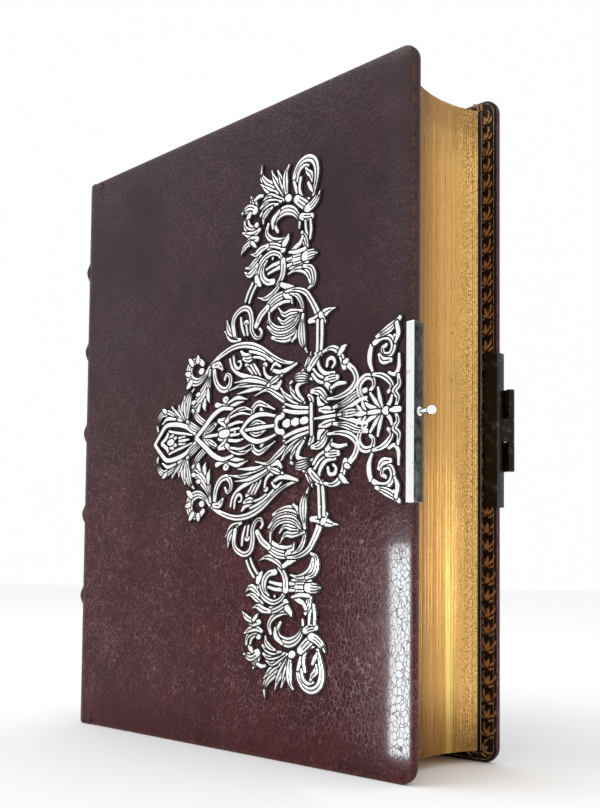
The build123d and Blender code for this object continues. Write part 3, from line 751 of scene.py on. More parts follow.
teardrop = [
    ([(76.0, 118.8), (72.4, 120.9), (66.4, 122.7), (60.6, 122.4), (55.4, 120.4), (50.2, 117.0), (46.0, 114.8),
      (41.0, 113.5)], (0.7, 0.95, 0.4), 1),
    ([(41.0, 113.4), (44.6, 112.3), (47.6, 112.0), (50.6, 113.2)], (0.4, 0.7, 0.5), 0),
    ([(68.0, 119.2), (67.0, 116.4), (64.4, 114.2), (60.6, 112.7), (56.4, 111.5), (52.4, 109.8)],
     (0.4, 0.65, 0.4), 0),
    ([(66.4, 119.8), (66.0, 117.4), (64.8, 115.9), (63.4, 116.4), (63.5, 117.8), (64.5, 118.0)],
     (0.4, 0.5, 0.3), 0),
    ([(63.2, 120.8), (61.4, 119.2), (59.2, 119.5)], (0.4, 0.8, 0.5), 0),
    ([(62.2, 118.4), (60.4, 117.8), (58.0, 118.0)], (0.5, 0.9, 0.4), 1),
    ([(61.2, 116.4), (59.6, 115.6), (57.6, 116.4)], (0.5, 0.7, 0.4), 0),
    ([(59.6, 120.2), (56.4, 119.2), (53.0, 117.4), (50.0, 115.4), (47.2, 113.8)], (0.4, 0.5, 0.3), 0),
    ([(58.0, 118.2), (55.6, 117.7), (53.4, 116.6)], (0.35, 0.4, 0.35), 0),
    ([(53.6, 115.2), (52.9, 115.0)], (0.6, 0.75, 0.6), 0),
    ([(53.8, 114.4), (53.3, 112.4), (51.8, 111.0), (49.8, 110.7)], (0.4, 0.5, 0.5), 0),
    ([(60.4, 115.4), (58.4, 113.2)], (0.35, 0.4, 0.3), 0),
    ([(59.2, 115.9), (56.8, 112.9)], (0.35, 0.4, 0.3), 0),
    ([(57.8, 116.0), (55.2, 112.3)], (0.35, 0.45, 0.3), 0),
    ([(50.8, 113.4), (49.4, 114.8), (47.2, 113.6)], (0.4, 0.5, 0.3), 0),
    ([(75.0, 117.9), (74.4, 113.8), (72.4, 110.9), (69.6, 110.2), (67.9, 111.8), (67.9, 113.8), (69.4, 114.8),
      (70.3, 113.4)], (0.7, 0.95, 0.45), 1),
    ([(75.2, 118.4), (73.0, 118.4), (71.4, 116.8)], (0.8, 1.0, 0.5), 1),
]
long_leaf = [
    ([(68.6, 109.2), (64.0, 109.9), (60.0, 109.7), (56.0, 109.0), (51.6, 107.6)], (0.2, 0.8, 0.5), 1),
    ([(66.2, 111.2), (61.0, 111.1), (56.4, 110.0), (53.0, 108.8)], (0.2, 0.6, 0.4), 0),
    ([(65.0, 107.6), (60.6, 107.9), (57.2, 107.9), (54.0, 107.3)], (0.2, 0.6, 0.3), 0),
    ([(52.4, 108.2), (49.8, 109.0), (46.8, 110.5)], (0.6, 1.3, 0.3), 2),
    ([(51.0, 107.6), (48.8, 107.2), (47.4, 108.6)], (0.5, 0.8, 0.5), 0),
    ([(37.4, 99.5), (41.2, 100.5), (45.2, 102.4), (49.2, 105.0), (53.0, 107.0), (57.8, 106.0)],
     (0.5, 0.85, 0.2), 1),
    ([(38.2, 100.4), (42.2, 102.2), (45.6, 104.4), (47.4, 106.6)], (0.4, 0.8, 0.3), 1),
    ([(38.4, 101.2), (41.2, 103.2), (43.2, 105.2), (43.8, 107.0)], (0.4, 0.85, 0.3), 1),
    ([(38.8, 102.0), (40.6, 104.0), (41.2, 106.0), (40.0, 106.9), (37.4, 107.1)], (0.4, 0.7, 0.3), 0),
    ([(43.8, 107.6), (41.4, 108.8), (38.6, 108.6), (35.4, 107.4)], (0.4, 1.35, 0.3), 3),
    ([(49.8, 100.8), (53.2, 102.4), (56.4, 103.5), (58.6, 102.2), (58.4, 100.3), (56.7, 99.9), (56.0, 101.2)],
     (0.2, 0.85, 0.45), 1),
    ([(55.4, 101.6), (54.0, 100.4), (51.2, 100.0)], (0.5, 0.5, 0.2), 0),
    ([(74.2, 105.4), (71.8, 104.7), (69.4, 104.9)], (0.8, 0.7, 0.5), 0),
    ([(70.6, 106.6), (69.6, 106.3)], (0.9, 1.1, 0.7), 1),
    ([(69.0, 105.4), (65.4, 106.4), (61.0, 105.4)], (0.4, 0.6, 0.15), 0),
    ([(68.8, 104.0), (65.4, 104.7), (62.6, 104.9)], (0.5, 0.6, 0.2), 0),
]
left_curl = [
    ([(75.6, 118.0), (78.0, 115.4), (81.0, 114.2), (84.0, 115.2), (85.0, 118.0), (83.6, 120.4), (80.8, 121.0),
      (78.6, 119.6)], (0.5, 1.5, 0.8), 2),
    ([(83.4, 120.2), (84.8, 121.9)], (0.8, 0.8, 0.5), 0),
    ([(80.9, 120.8), (80.8, 122.2)], (0.8, 0.8, 0.5), 0),
    ([(84.9, 117.2), (86.4, 117.6)], (0.8, 0.8, 0.5), 0),
    ([(84.0, 114.6), (85.8, 113.0)], (0.8, 0.9, 0.5), 0),
    ([(79.8, 117.2), (78.8, 117.4)], (0.7, 1.0, 0.8), 0),
    ([(75.2, 117.0), (76.4, 112.8), (78.8, 109.4), (82.2, 106.8), (86.0, 104.6)], (0.4, 2.1, 0.4), 3),
    ([(76.2, 111.0), (76.2, 108.6), (75.6, 106.9)], (0.5, 0.8, 0.2), 0),
    ([(77.6, 108.0), (78.0, 105.8), (77.4, 104.6)], (0.5, 0.8, 0.2), 0),
    ([(80.0, 106.6), (81.0, 104.8), (81.0, 103.4)], (0.5, 0.8, 0.2), 0),
    ([(80.2, 110.2), (81.6, 110.0)], (0.6, 0.7, 0.3), 0),
    ([(82.4, 108.0), (83.8, 107.6)], (0.6, 0.7, 0.3), 0),
]
left_leaf = [
    ([(88.0, 102.0), (87.6, 106.0), (86.6, 109.2), (84.6, 111.2)], (0.7, 1.3, 0.3), 2),
    ([(88.8, 102.0), (89.6, 105.8), (88.8, 109.4)], (0.6, 1.1, 0.3), 1),
    ([(89.4, 102.0), (91.4, 104.6), (91.6, 106.8)], (0.6, 0.9, 0.3), 1),
    ([(90.0, 101.8), (93.2, 104.2), (95.0, 106.8)], (0.5, 1.0, 0.3), 1),
    ([(90.6, 101.5), (95.2, 104.2), (98.6, 105.2), (100.9, 104.2), (102.2, 101.4), (101.9, 99.8)],
     (0.5, 1.1, 0.4), 2),
    ([(98.2, 105.6), (99.6, 106.6)], (0.7, 0.7, 0.3), 0),
    ([(93.4, 102.6), (97.2, 103.2), (99.8, 101.8)], (0.4, 0.6, 0.3), 0),
]
pointed_frame = [
    ([(104.2, 95.3), (101.4, 98.3), (98.6, 100.7), (94.2, 100.7), (89.8, 99.6), (86.6, 97.8), (83.4, 95.6)],
     (0.6, 0.75, 0.6), 0),
    ([(100.8, 95.3), (98.4, 97.0), (97.2, 99.2)], (0.6, 0.6, 0.4), 0),
    ([(97.2, 98.8), (94.0, 98.0), (90.4, 97.3), (86.4, 96.4)], (0.4, 0.45, 0.3), 0),
    ([(96.8, 96.4), (95.4, 97.2)], (0.6, 0.7, 0.5), 0),
    ([(95.2, 95.9), (93.8, 96.4)], (0.5, 0.6, 0.4), 0),
    ([(92.4, 96.0), (89.6, 96.2)], (0.5, 0.45, 0.3), 0),
    ([(86.0, 104.2), (83.0, 101.0), (79.6, 98.9)], (0.5, 1.0, 0.9), 2),
    ([(88.6, 101.0), (85.6, 98.8), (82.6, 97.4)], (0.5, 1.0, 0.7), 2),
    ([(84.2, 95.3), (80.2, 98.4), (76.6, 101.3), (72.6, 102.9), (68.2, 102.3)], (0.7, 0.8, 0.5), 0),
    ([(80.8, 95.3), (79.0, 97.2), (76.0, 99.0)], (0.6, 0.5, 0.3), 0),
    ([(79.4, 96.0), (77.4, 97.2), (75.4, 98.4)], (0.4, 0.7, 0.5), 1),
]
centre = [
    ([(73.6, 99.7), (71.2, 98.8), (70.2, 96.8)], (0.8, 1.4, 1.2), 1),
    ([(73.8, 97.0), (72.2, 97.0)], (0.5, 0.7, 0.6), 0),
    ([(70.6, 99.2), (67.4, 101.4), (63.2, 102.2), (59.6, 101.2)], (0.7, 0.75, 0.2), 1),
    ([(68.8, 100.2), (64.6, 100.9), (60.4, 100.0)], (0.4, 0.4, 0.2), 0),
    ([(69.4, 97.8), (66.0, 98.3), (62.8, 98.0)], (0.5, 0.5, 0.2), 0),
    ([(69.2, 96.2), (66.2, 96.4), (64.4, 96.2)], (0.5, 0.45, 0.3), 0),
    ([(64.4, 95.3), (61.8, 97.8), (58.4, 99.3), (54.8, 99.3), (50.0, 98.2)], (0.6, 0.7, 0.4), 0),
    ([(61.2, 95.6), (58.8, 97.2), (56.6, 97.2), (54.2, 96.4)], (0.4, 0.7, 0.3), 1),
    ([(50.2, 95.3), (49.4, 97.3), (47.4, 98.0), (46.9, 100.4)], (0.7, 0.8, 0.5), 0),
    ([(46.8, 99.4), (43.2, 98.4), (39.8, 97.9), (37.2, 97.7)], (0.5, 0.6, 0.5), 0),
    ([(46.4, 101.2), (42.4, 99.8), (37.4, 98.9)], (0.3, 0.5, 0.4), 0),
    ([(37.4, 102.4), (36.4, 101.2), (36.0, 99.8)], (0.5, 0.8, 0.5), 1),
    ([(36.2, 103.4), (34.0, 103.2), (32.2, 101.8), (30.8, 100.0)], (0.7, 1.3, 0.7), 2),
    ([(34.0, 101.2), (33.4, 99.4), (31.6, 98.6)], (0.5, 0.8, 0.5), 0),
    ([(33.4, 97.8), (31.0, 97.4), (28.4, 96.9)], (0.6, 1.1, 0.5), 1),
    ([(28.4, 97.8), (24.2, 98.7), (21.0, 100.2), (17.4, 101.0)], (0.5, 1.0, 0.7), 2),
    ([(26.4, 96.1), (22.8, 97.3), (19.4, 98.6), (17.2, 98.9)], (0.4, 0.6, 0.5), 0),
    ([(30.6, 100.4), (26.4, 100.5), (22.6, 101.8), (20.5, 104.2), (21.2, 106.8), (23.2, 108.8)],
     (0.4, 0.9, 0.8), 1),
]
side_cluster = [
    ([(29.9, 110.2), (29.4, 111.9), (27.8, 112.0), (27.0, 110.6), (28.0, 109.5)], (0.5, 0.55, 0.4), 0),
    ([(33.6, 113.6), (32.6, 110.2), (30.6, 108.2), (27.4, 107.8)], (0.5, 0.6, 0.5), 0),
    ([(31.2, 114.4), (28.6, 115.0), (26.2, 114.0), (24.6, 111.6), (23.8, 108.8)], (0.4, 0.9, 0.8), 1),
    ([(25.4, 112.8), (24.2, 114.2), (22.9, 114.9)], (0.7, 0.8, 0.2), 0),
    ([(23.6, 110.2), (22.4, 110.6)], (0.7, 0.7, 0.3), 0),
    ([(39.2, 110.2), (36.8, 111.4), (35.6, 115.0)], (0.2, 1.3, 0.2), 2),
    ([(36.4, 110.4), (34.6, 112.4), (32.2, 114.2)], (0.8, 0.95, 0.4), 1),
    ([(35.2, 108.6), (33.2, 106.4), (30.0, 105.2)], (0.45, 0.45, 0.4), 0),
    ([(34.8, 110.0), (32.8, 107.9), (30.6, 106.8)], (0.4, 0.4, 0.35), 0),
    ([(30.0, 106.3), (26.4, 106.4)], (0.9, 1.0, 0.8), 2),
    ([(30.2, 105.0), (28.8, 103.8), (28.4, 102.4)], (0.7, 0.8, 0.2), 0),
    ([(28.4, 103.8), (26.0, 104.6), (23.4, 104.4)], (0.5, 0.6, 0.4), 0),
]


def moved(group, du, dz):
    """A group of strokes shifted along the sheet."""
    return [([(u + du, z + dz) for u, z in path], width, lines) for path, width, lines in group]


half_plaque = (
    moved(top_curl, -0.5, 0.3) + moved(acanthus, 0, 0.7) + moved(side_sprig, 0, 0.6) + crescents
    + moved(tulip, 0.3, 0) + moved(ring_scroll, -0.2, 0) + moved(collar, 0.2, -0.8)
    + moved(shell_leaf, 0.3, 0) + moved(side_scroll, 0.3, -1.2) + moved(teardrop, 0.3, -1.3)
    + moved(long_leaf, 0, -0.8) + moved(left_curl, 1.8, -1.0) + left_leaf
    + moved(pointed_frame, -0.8, 0.2) + moved(centre, -0.6, -0.2) + moved(side_cluster, 0.2, -0.6))
# Strokes that lie on the middle line, drawn once.
middle_strokes = [
    ([(35.9, 91.0), (35.9, 95.3), (35.9, 99.6)], (0.55, 0.6, 0.55), 0),
    ([(61.6, 95.3), (56.0, 95.3), (50.4, 95.3)], (0.5, 0.6, 0.5), 0),
    ([(34.8, 95.3), (30.8, 95.3), (26.8, 95.3)], (0.3, 0.5, 0.4), 0),
    ([(26.4, 95.3), (22.2, 95.3), (18.4, 95.3)], (0.3, 1.1, 0.5), 2),
    ([(45.9, 95.3), (44.5, 95.3)], (1.0, 1.3, 1.0), 0),
    ([(42.6, 95.3), (41.4, 95.3)], (1.0, 1.2, 1.0), 0),
    ([(39.2, 95.3), (38.0, 95.3)], (1.0, 1.1, 1.0), 0),
    ([(72.2, 95.3), (69.6, 95.3)], (1.1, 1.3, 1.1), 0),
    ([(96.6, 95.3), (94.8, 95.3)], (0.8, 1.1, 0.8), 0),
    ([(79.6, 95.3), (77.0, 95.3), (74.0, 95.3)], (0.4, 0.55, 0.5), 0),
    ([(91.6, 95.3), (87.0, 95.3)], (0.4, 0.5, 0.3), 0),
]
half_flange = [
    ([(14.6, 98.4), (16.8, 100.4), (17.2, 103.0), (15.4, 105.0), (12.9, 104.6), (12.3, 102.6), (13.4, 101.4)],
     (0.5, 0.95, 0.5), 1),
    ([(12.4, 105.6), (13.7, 109.0), (13.3, 112.6), (11.4, 115.2)], (0.4, 0.8, 0.6), 0),
    ([(12.2, 113.8), (9.8, 114.9), (7.2, 114.5), (6.0, 112.4), (6.9, 110.2), (9.0, 110.3), (9.5, 112.0),
      (8.3, 112.7)], (0.7, 0.85, 0.5), 1),
    ([(10.6, 110.4), (9.4, 108.7), (6.8, 108.5)], (0.5, 0.95, 0.6), 1),
    ([(11.4, 115.4), (8.2, 116.6), (5.6, 118.0), (4.0, 119.2)], (0.5, 1.1, 0.6), 2),
    ([(5.0, 118.0), (4.5, 115.2), (5.4, 113.0)], (0.6, 0.7, 0.4), 0),
    ([(4.2, 109.6), (4.3, 106.2), (5.6, 104.6), (7.4, 105.2)], (0.4, 0.6, 0.4), 0),
    ([(12.4, 105.4), (9.8, 104.8), (7.6, 103.4), (6.4, 101.6), (7.6, 100.2)], (0.5, 0.8, 0.5), 1),
    ([(4.4, 104.2), (4.2, 101.8), (5.6, 100.2), (4.5, 98.4), (5.0, 96.6)], (0.5, 0.8, 0.5), 1),
    ([(9.6, 95.7), (12.6, 96.5), (15.0, 97.8)], (0.3, 0.6, 0.5), 0),
    ([(9.5, 96.0), (11.6, 98.0), (13.4, 100.4)], (0.3, 0.6, 0.4), 0),
    ([(9.3, 96.3), (10.2, 98.6), (10.9, 101.6)], (0.3, 0.6, 0.4), 0),
    ([(15.0, 95.7), (16.9, 96.6), (18.0, 98.0)], (0.3, 0.6, 0.3), 0),
    ([(14.8, 96.0), (15.9, 97.6), (16.1, 99.2)], (0.3, 0.5, 0.3), 0),
    ([(8.4, 96.2), (7.0, 97.4), (6.4, 99.0)], (0.4, 0.6, 0.4), 0),
]
middle_flange = [
    ([(9.6, 95.3), (13.0, 95.3), (15.2, 95.3)], (0.4, 0.65, 0.4), 0),
    ([(15.0, 95.3), (17.0, 95.3), (18.4, 95.3)], (0.4, 0.7, 0.4), 0),
    ([(8.8, 95.3), (7.8, 95.3)], (0.8, 1.1, 0.8), 0),
    ([(6.8, 95.3), (4.0, 95.3)], (0.5, 0.8, 0.7), 0),
]


def smooth_path(points, step=0.1):
    """Points along a Catmull-Rom curve through given points, with the share of its length."""
    p = np.array(points, float)
    if len(p) == 2:
        p = np.array([p[0], (p[0] + p[1]) / 2, p[1]])
    p = np.vstack([2 * p[0] - p[1], p, 2 * p[-1] - p[-2]])
    out = []
    for a, b, c, d in zip(p, p[1:], p[2:], p[3:]):
        count = max(int(np.linalg.norm(c - b) / step), 2)
        t = np.linspace(0, 1, count, endpoint=False)[:, None]
        out.append(0.5 * (2 * b + (c - a) * t + (2 * a - 5 * b + 4 * c - d) * t ** 2
                          + (3 * b - a - 3 * c + d) * t ** 3))
    out = np.vstack(out + [p[-2:-1]])
    run = np.concatenate([[0], np.cumsum(np.linalg.norm(np.diff(out, axis=0), axis=1))])
    return out, run / run[-1]


ornament_margin = 0.30
ornament_ground = 0.45
ornament_rise = 0.60
engraved_lines = {0: (), 1: (0.0,), 2: (-0.36, 0.36), 3: (-0.52, 0.0, 0.52)}


def lay_stroke(field, stroke, grid_u, grid_v, pitch):
    """Adds one stroke to the relief: nearer cells take its domed, engraved section."""
    path, share = smooth_path(stroke[0])
    first, middle, last = stroke[1]
    width = np.where(share < 0.5, first + (middle - first) * smooth_step(share, 0, 0.5),
                     middle + (last - middle) * smooth_step(share, 0.5, 1)) * 1.08 + 0.02
    reach = width.max() + ornament_margin + 3 * pitch
    low = path.min(axis=0) - reach
    high = path.max(axis=0) + reach
    i0, i1 = np.searchsorted(grid_u, (low[0], high[0]))
    j0, j1 = np.searchsorted(grid_v, (low[1], high[1]))
    if i0 == i1 or j0 == j1:
        return
    u, v = np.meshgrid(grid_u[i0:i1], grid_v[j0:j1], indexing="ij")
    cells = np.stack([u.ravel(), v.ravel()], 1)
    gaps = ((cells[:, None, :] - path[None, :, :]) ** 2).sum(-1)
    distance = np.sqrt(gaps) - width[None, :]
    nearest = distance.argmin(1)
    outside = distance[np.arange(len(cells)), nearest].reshape(u.shape)
    tangent = np.gradient(path, axis=0)
    offset = cells - path[nearest]
    side = tangent[nearest, 0] * offset[:, 1] - tangent[nearest, 1] * offset[:, 0]
    side = side / (np.linalg.norm(tangent[nearest], axis=1) + 1e-9)
    across = (side / width[nearest]).reshape(u.shape)
    reach_in = 1 + outside / width[nearest].reshape(u.shape)
    dome = np.sqrt(np.clip(1 - np.clip(reach_in, 0, 1) ** 5, 0, 1))
    line_width = np.clip(0.2 / width[nearest].reshape(u.shape), 0.08, 0.34)
    groove = np.zeros_like(dome)
    fade = smooth_step(share[nearest], 0.04, 0.2) * (1 - smooth_step(share[nearest], 0.86, 0.98))
    for line in engraved_lines[stroke[2]]:
        groove = np.maximum(groove, np.exp(-((across - line) / line_width) ** 2))
    groove = groove * fade.reshape(u.shape) * smooth_step(width[nearest].reshape(u.shape), 0.42, 0.62)
    full = 0.78 + 0.22 * smooth_step(width[nearest], 0.3, 1.2).reshape(u.shape)
    height = dome * (1 - 0.9 * groove) * full
    part = (slice(i0, i1), slice(j0, j1))
    over = outside < 0
    # The low ring round each stroke is painted dark by the silver shader: partly oxide, partly painted shadow
    # outline.
    rim = (outside >= 0) & (outside < 0.30)
    below = field["height"][part]
    below = np.where(rim, np.minimum(below, 0.05), below)
    field["height"][part] = np.where(over, height, below)
    field["outside"][part] = np.minimum(field["outside"][part], outside)


def relief_field(half_strokes, whole_strokes, u_range, v_high, pitch):
    """Relief on a square grid, built above the middle line and mirrored below it."""
    grid_u = np.arange(u_range[0], u_range[1], pitch)
    steps = int(v_high / pitch) + 1
    grid_v = np.arange(-steps, steps + 1) * pitch
    shape = (len(grid_u), len(grid_v))
    field = {"height": np.zeros(shape), "outside": np.full(shape, 9.0)}
    for path, width, lines in half_strokes:
        raised = [(u, v - middle_height) for u, v in path]
        lay_stroke(field, (raised, width, lines), grid_u, grid_v, pitch)
    for key in field:
        upper = field[key][:, steps:]
        if key == "outside":
            upper = np.minimum(upper, field[key][:, steps::-1])
        field[key] = np.concatenate([upper[:, :0:-1], upper], axis=1)
    for path, width, lines in whole_strokes:
        lay_stroke(field, ([(u, v - middle_height) for u, v in path], width, lines), grid_u, grid_v, pitch)
    return grid_u, grid_v, field


def relief_mesh(name, grid_u, grid_v, field, keep, material, place, thickness_scale=1.0):
    """Closed plate from the part of the relief where keep is true. place turns (u, v, height) to metres."""
    outside = field["outside"]
    pitch = grid_u[1] - grid_u[0]
    inside = outside < ornament_margin
    cell = inside[:-1, :-1] | inside[1:, :-1] | inside[:-1, 1:] | inside[1:, 1:]
    cell &= keep[:-1, :-1]
    used = np.zeros_like(inside)
    for di in (0, 1):
        for dj in (0, 1):
            used[di:used.shape[0] - 1 + di, dj:used.shape[1] - 1 + dj] |= cell
    u, v = np.meshgrid(grid_u, grid_v, indexing="ij")
    slope_u, slope_v = np.gradient(outside, pitch)
    steep = slope_u ** 2 + slope_v ** 2 + 1e-6
    over = np.clip(outside - ornament_margin, 0, 1.2 * pitch)
    shift = np.where(outside > ornament_margin, over / steep, 0)
    u = u - slope_u * shift
    v = v - slope_v * shift
    index = -np.ones(inside.shape, int)
    index[used] = np.arange(used.sum())
    total = int(used.sum())
    height = ornament_ground + ornament_rise * field["height"]
    top = place(u[used], v[used], height[used] * thickness_scale)
    bottom = place(u[used], v[used], np.full(total, -0.06))
    ii, jj = np.nonzero(cell)
    a, b, c, d = index[ii, jj], index[ii + 1, jj], index[ii + 1, jj + 1], index[ii, jj + 1]
    quads = np.stack([a, b, c, d], 1)
    faces = [quads, quads[:, ::-1] + total]
    padded = np.pad(cell, 1)
    for di, dj, p, q in ((0, -1, a, b), (1, 0, b, c), (0, 1, c, d), (-1, 0, d, a)):
        edge = ~padded[ii + 1 + di, jj + 1 + dj]
        p, q = p[edge], q[edge]
        faces.append(np.stack([q, p, p + total, q + total], 1))
    faces = np.concatenate(faces)
    points = np.concatenate([top, bottom])
    mesh = bpy.data.meshes.new(name)
    mesh.vertices.add(len(points))
    mesh.vertices.foreach_set("co", points.ravel())
    mesh.loops.add(faces.size)
    mesh.loops.foreach_set("vertex_index", faces.ravel().astype(np.int32))
    mesh.polygons.add(len(faces))
    mesh.polygons.foreach_set("loop_start", np.arange(0, faces.size, 4, dtype=np.int32))
    mesh.polygons.foreach_set("loop_total", np.full(len(faces), 4, dtype=np.int32))
    mesh.update()
    mesh.validate()
    mesh.polygons.foreach_set("use_smooth", np.ones(len(mesh.polygons), bool))
    # Relief height: the silver shader makes high parts bright and low ones dark, as oxide in the engraving
    # and painted shadow round each stroke.
    worn = np.concatenate([field["height"][used], np.zeros(total)])
    layer = mesh.attributes.new("polish_and_shade", "FLOAT", "POINT")
    layer.data.foreach_set("value", worn.astype(np.float32))
    mesh.materials.append(material)
    made = bpy.data.objects.new(name, mesh)
    bpy.context.scene.collection.objects.link(made)
    return made


def plaque_place(u, v, height):
    """Place of a point of the plaque, which sits a little turned on the cover."""
    turn = 0.0232
    across = 34.0 + (u - 36) + turn * v
    up = 94.9 + 0.976 * v - turn * (u - 36)
    return np.stack([fore_x - across * MM, front_y - height * MM, up * MM], 1)


def flange_place(u, v, height):
    """Place of a point of the catch ornament."""
    return np.stack([fore_x - u * MM, front_y - height * MM, (94.6 + 0.98 * v) * MM], 1)


def silver_material():
    """Cast silver: rubbed bright on top, blackened with oxide in the engraving, and dark on the low step
    round each stroke, partly oxide and partly painted shadow outline.
    """
    material, tree, shader = new_material("cast_silver")
    polish_and_shade = attribute(tree, "polish_and_shade")
    place = object_place(tree)
    uneven = times(tree, maths(tree, "SUBTRACT", noise(tree, place, 1.5, 3.0), 0.5), 0.3)
    bright = ramp(tree, plus(tree, polish_and_shade, uneven), 0.42, 0.80)
    colour = mix_colour(tree, bright, (0.035, 0.032, 0.030, 1), (0.93, 0.925, 0.91, 1))
    scratches = noise(tree, object_place(tree, (1.0, 1.0, 0.2), (0.3, 0.5, 0.2)), 9.0, 3.0, 0.7)
    fill(tree, shader, {
        "Base Color": colour, "Metallic": 1.0, "Roughness": ramp(tree, bright, 0.0, 1.0, 0.55, 0.24),
        "Normal": bump(tree, scratches, 0.25, 0.00004)})
    return material


def build_ornament(silver):
    """The plaque in three pieces, one above another, and the flange of the catch plate."""
    grid_u, grid_v, field = relief_field(half_plaque, middle_strokes, (15.0, 107.0), 80.0, 0.2)
    heights = np.broadcast_to(grid_v[None, :], field["height"].shape)
    for name, keep in (("plaque_upper", heights > 25.0),
                       ("plaque_middle", (heights > -25.0 - 1e-9) & (heights <= 25.0 + 1e-9)),
                       ("plaque_lower", heights < -25.0)):
        piece = relief_mesh(name, grid_u, grid_v, field, keep, silver, plaque_place)
        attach(piece, "front_cover")
        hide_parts("plaque")
    grid_u, grid_v, field = relief_field(half_flange, middle_flange, (2.9, 20.0), 26.0, 0.15)
    keep = np.ones(field["height"].shape, bool)
    piece = relief_mesh("catch_flange", grid_u, grid_v, field, keep, silver, flange_place, 0.9)
    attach(piece, "front_cover")
    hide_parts("catch_ornament")


# ---- boards ----
def board_piece(name, side, material):
    """Pasteboard core of a cover, rounded inside the leather."""
    thickness = cover_depth / MM
    over = [(max(d, 0.45), max(h, 0) + 0.45) for d, h in edge_profile(thickness, 0) if h < thickness / 2]
    under = [(0.45, thickness - 0.9), (0.7, thickness - 0.5), (1.6, thickness - 0.4), (94.8, thickness - 0.4)]
    rows = [np.array(ring_points(inset * MM, depth * MM, side)) for inset, depth in over + under]
    count = len(rows[0])
    points = np.concatenate(rows)
    points[:, 0] = np.maximum(points[:, 0], joint_x + 0.05 * MM)
    faces = sheet_faces(len(rows), count) + lid_faces(count) + lid_faces(count, (len(rows) - 1) * count)
    low = [r * count for r in range(len(rows))]
    high = [r * count + count - 1 for r in range(len(rows))]
    faces.append(tuple(low + high[::-1]))
    return closed_piece(name, points, faces, material, smooth=False)


# ---- gold tooling on the turn-ins ----
def sprig_mesh(material):
    """One tooled motif, 4.5 mm long along +X and lying in the XY plane: a bud between two curled leaves."""
    bud = [(0.2, 0), (0.8, 0.42), (1.5, 0.5), (2.3, 0.0), (1.5, -0.5), (0.8, -0.42)]
    leaf = [(0.1, 0.1), (0.7, 0.9), (1.3, 1.75), (2.2, 2.1), (2.7, 1.7), (2.1, 1.6), (1.6, 1.2), (1.0, 0.5)]
    small = [(0.0, 0.5), (-0.1, 1.2), (0.4, 2.0), (0.9, 2.2), (0.6, 1.6), (0.4, 1.0)]
    outlines = [bud]
    outlines += [[(x, y * sign) for x, y in shape][::sign] for sign in (1, -1) for shape in (leaf, small)]
    points, faces = [], []
    for outline in outlines:
        base = len(points)
        n = len(outline)
        for height in (0.045, -0.03):
            points += [(x * 1.5 * MM, y * 1.1 * MM, height * MM) for x, y in outline]
        faces.append(tuple(base + k for k in range(n)))
        faces.append(tuple(base + n + k for k in reversed(range(n))))
        for k in range(n):
            q = (k + 1) % n
            faces.append((base + k, base + n + k, base + n + q, base + q))
    return closed_piece("tooled_sprig", points, faces, material, smooth=False)


def grow(name, path_points, normal, builder, material):
    """Runs a node tree, made by builder, on a path mesh and keeps the plain mesh it gives."""
    mesh = bpy.data.meshes.new(name + "_path")
    edges = [(i, i + 1) for i in range(len(path_points) - 1)]
    mesh.from_pydata([tuple(map(float, p)) for p in path_points], edges, [])
    carrier = bpy.data.objects.new(name + "_path", mesh)
    bpy.context.scene.collection.objects.link(carrier)
    tree = bpy.data.node_groups.new(name + "_nodes", "GeometryNodeTree")
    tree.interface.new_socket("Geometry", in_out="INPUT", socket_type="NodeSocketGeometry")
    tree.interface.new_socket("Geometry", in_out="OUTPUT", socket_type="NodeSocketGeometry")
    values = builder(tree, normal)
    modifier = carrier.modifiers.new(name, "NODES")
    modifier.node_group = tree
    for item in tree.interface.items_tree:
        if item.item_type == "SOCKET" and item.in_out == "INPUT" and item.name in values:
            modifier[item.identifier] = values[item.name]
    settled = carrier.evaluated_get(bpy.context.evaluated_depsgraph_get())
    plain = bpy.data.meshes.new_from_object(settled)
    carrier.modifiers.clear()
    bpy.data.objects.remove(carrier)
    plain.name = name
    if not plain.materials:
        plain.materials.append(material)
    made = bpy.data.objects.new(name, plain)
    bpy.context.scene.collection.objects.link(made)
    return made


def group_inputs(tree, kinds):
    """Adds named inputs to a node group and gives its input and output nodes."""
    for word, kind in kinds:
        tree.interface.new_socket(word, in_out="INPUT", socket_type="NodeSocket" + kind)
    return tree.nodes.new("NodeGroupInput"), tree.nodes.new("NodeGroupOutput")


def steps_along(tree, given):
    """Points at even spacing along the path."""
    curve = add_node(tree, "GeometryNodeMeshToCurve", {"Mesh": given.outputs["Geometry"]})
    return add_node(tree, "GeometryNodeCurveToPoints", {
        "Curve": curve.outputs[0], "Length": given.outputs["Spacing"]}, mode="LENGTH")


def aim_along(tree, steps, axis):
    """Rotation that turns an axis along the path."""
    return add_node(tree, "FunctionNodeAlignRotationToVector", {
        "Vector": steps.outputs["Tangent"]}, axis=axis).outputs[0]


def place_copies(tree, given, result, inputs, smallest, largest, finish):
    """Copies of slightly uneven size, made real and given their material."""
    size = add_node(tree, "FunctionNodeRandomValue", {
        "Min": smallest, "Max": largest, "Seed": given.outputs["Seed"]}, data_type="FLOAT")
    placed = add_node(tree, "GeometryNodeInstanceOnPoints", inputs)
    tree.links.new(next(s for s in size.outputs if s.enabled), placed.inputs["Scale"])
    real = add_node(tree, "GeometryNodeRealizeInstances", {"Geometry": placed.outputs[0]})
    painted = add_node(tree, "GeometryNodeSetMaterial", {
        "Geometry": real.outputs[0], "Material": given.outputs[finish]})
    tree.links.new(painted.outputs[0], result.inputs[0])


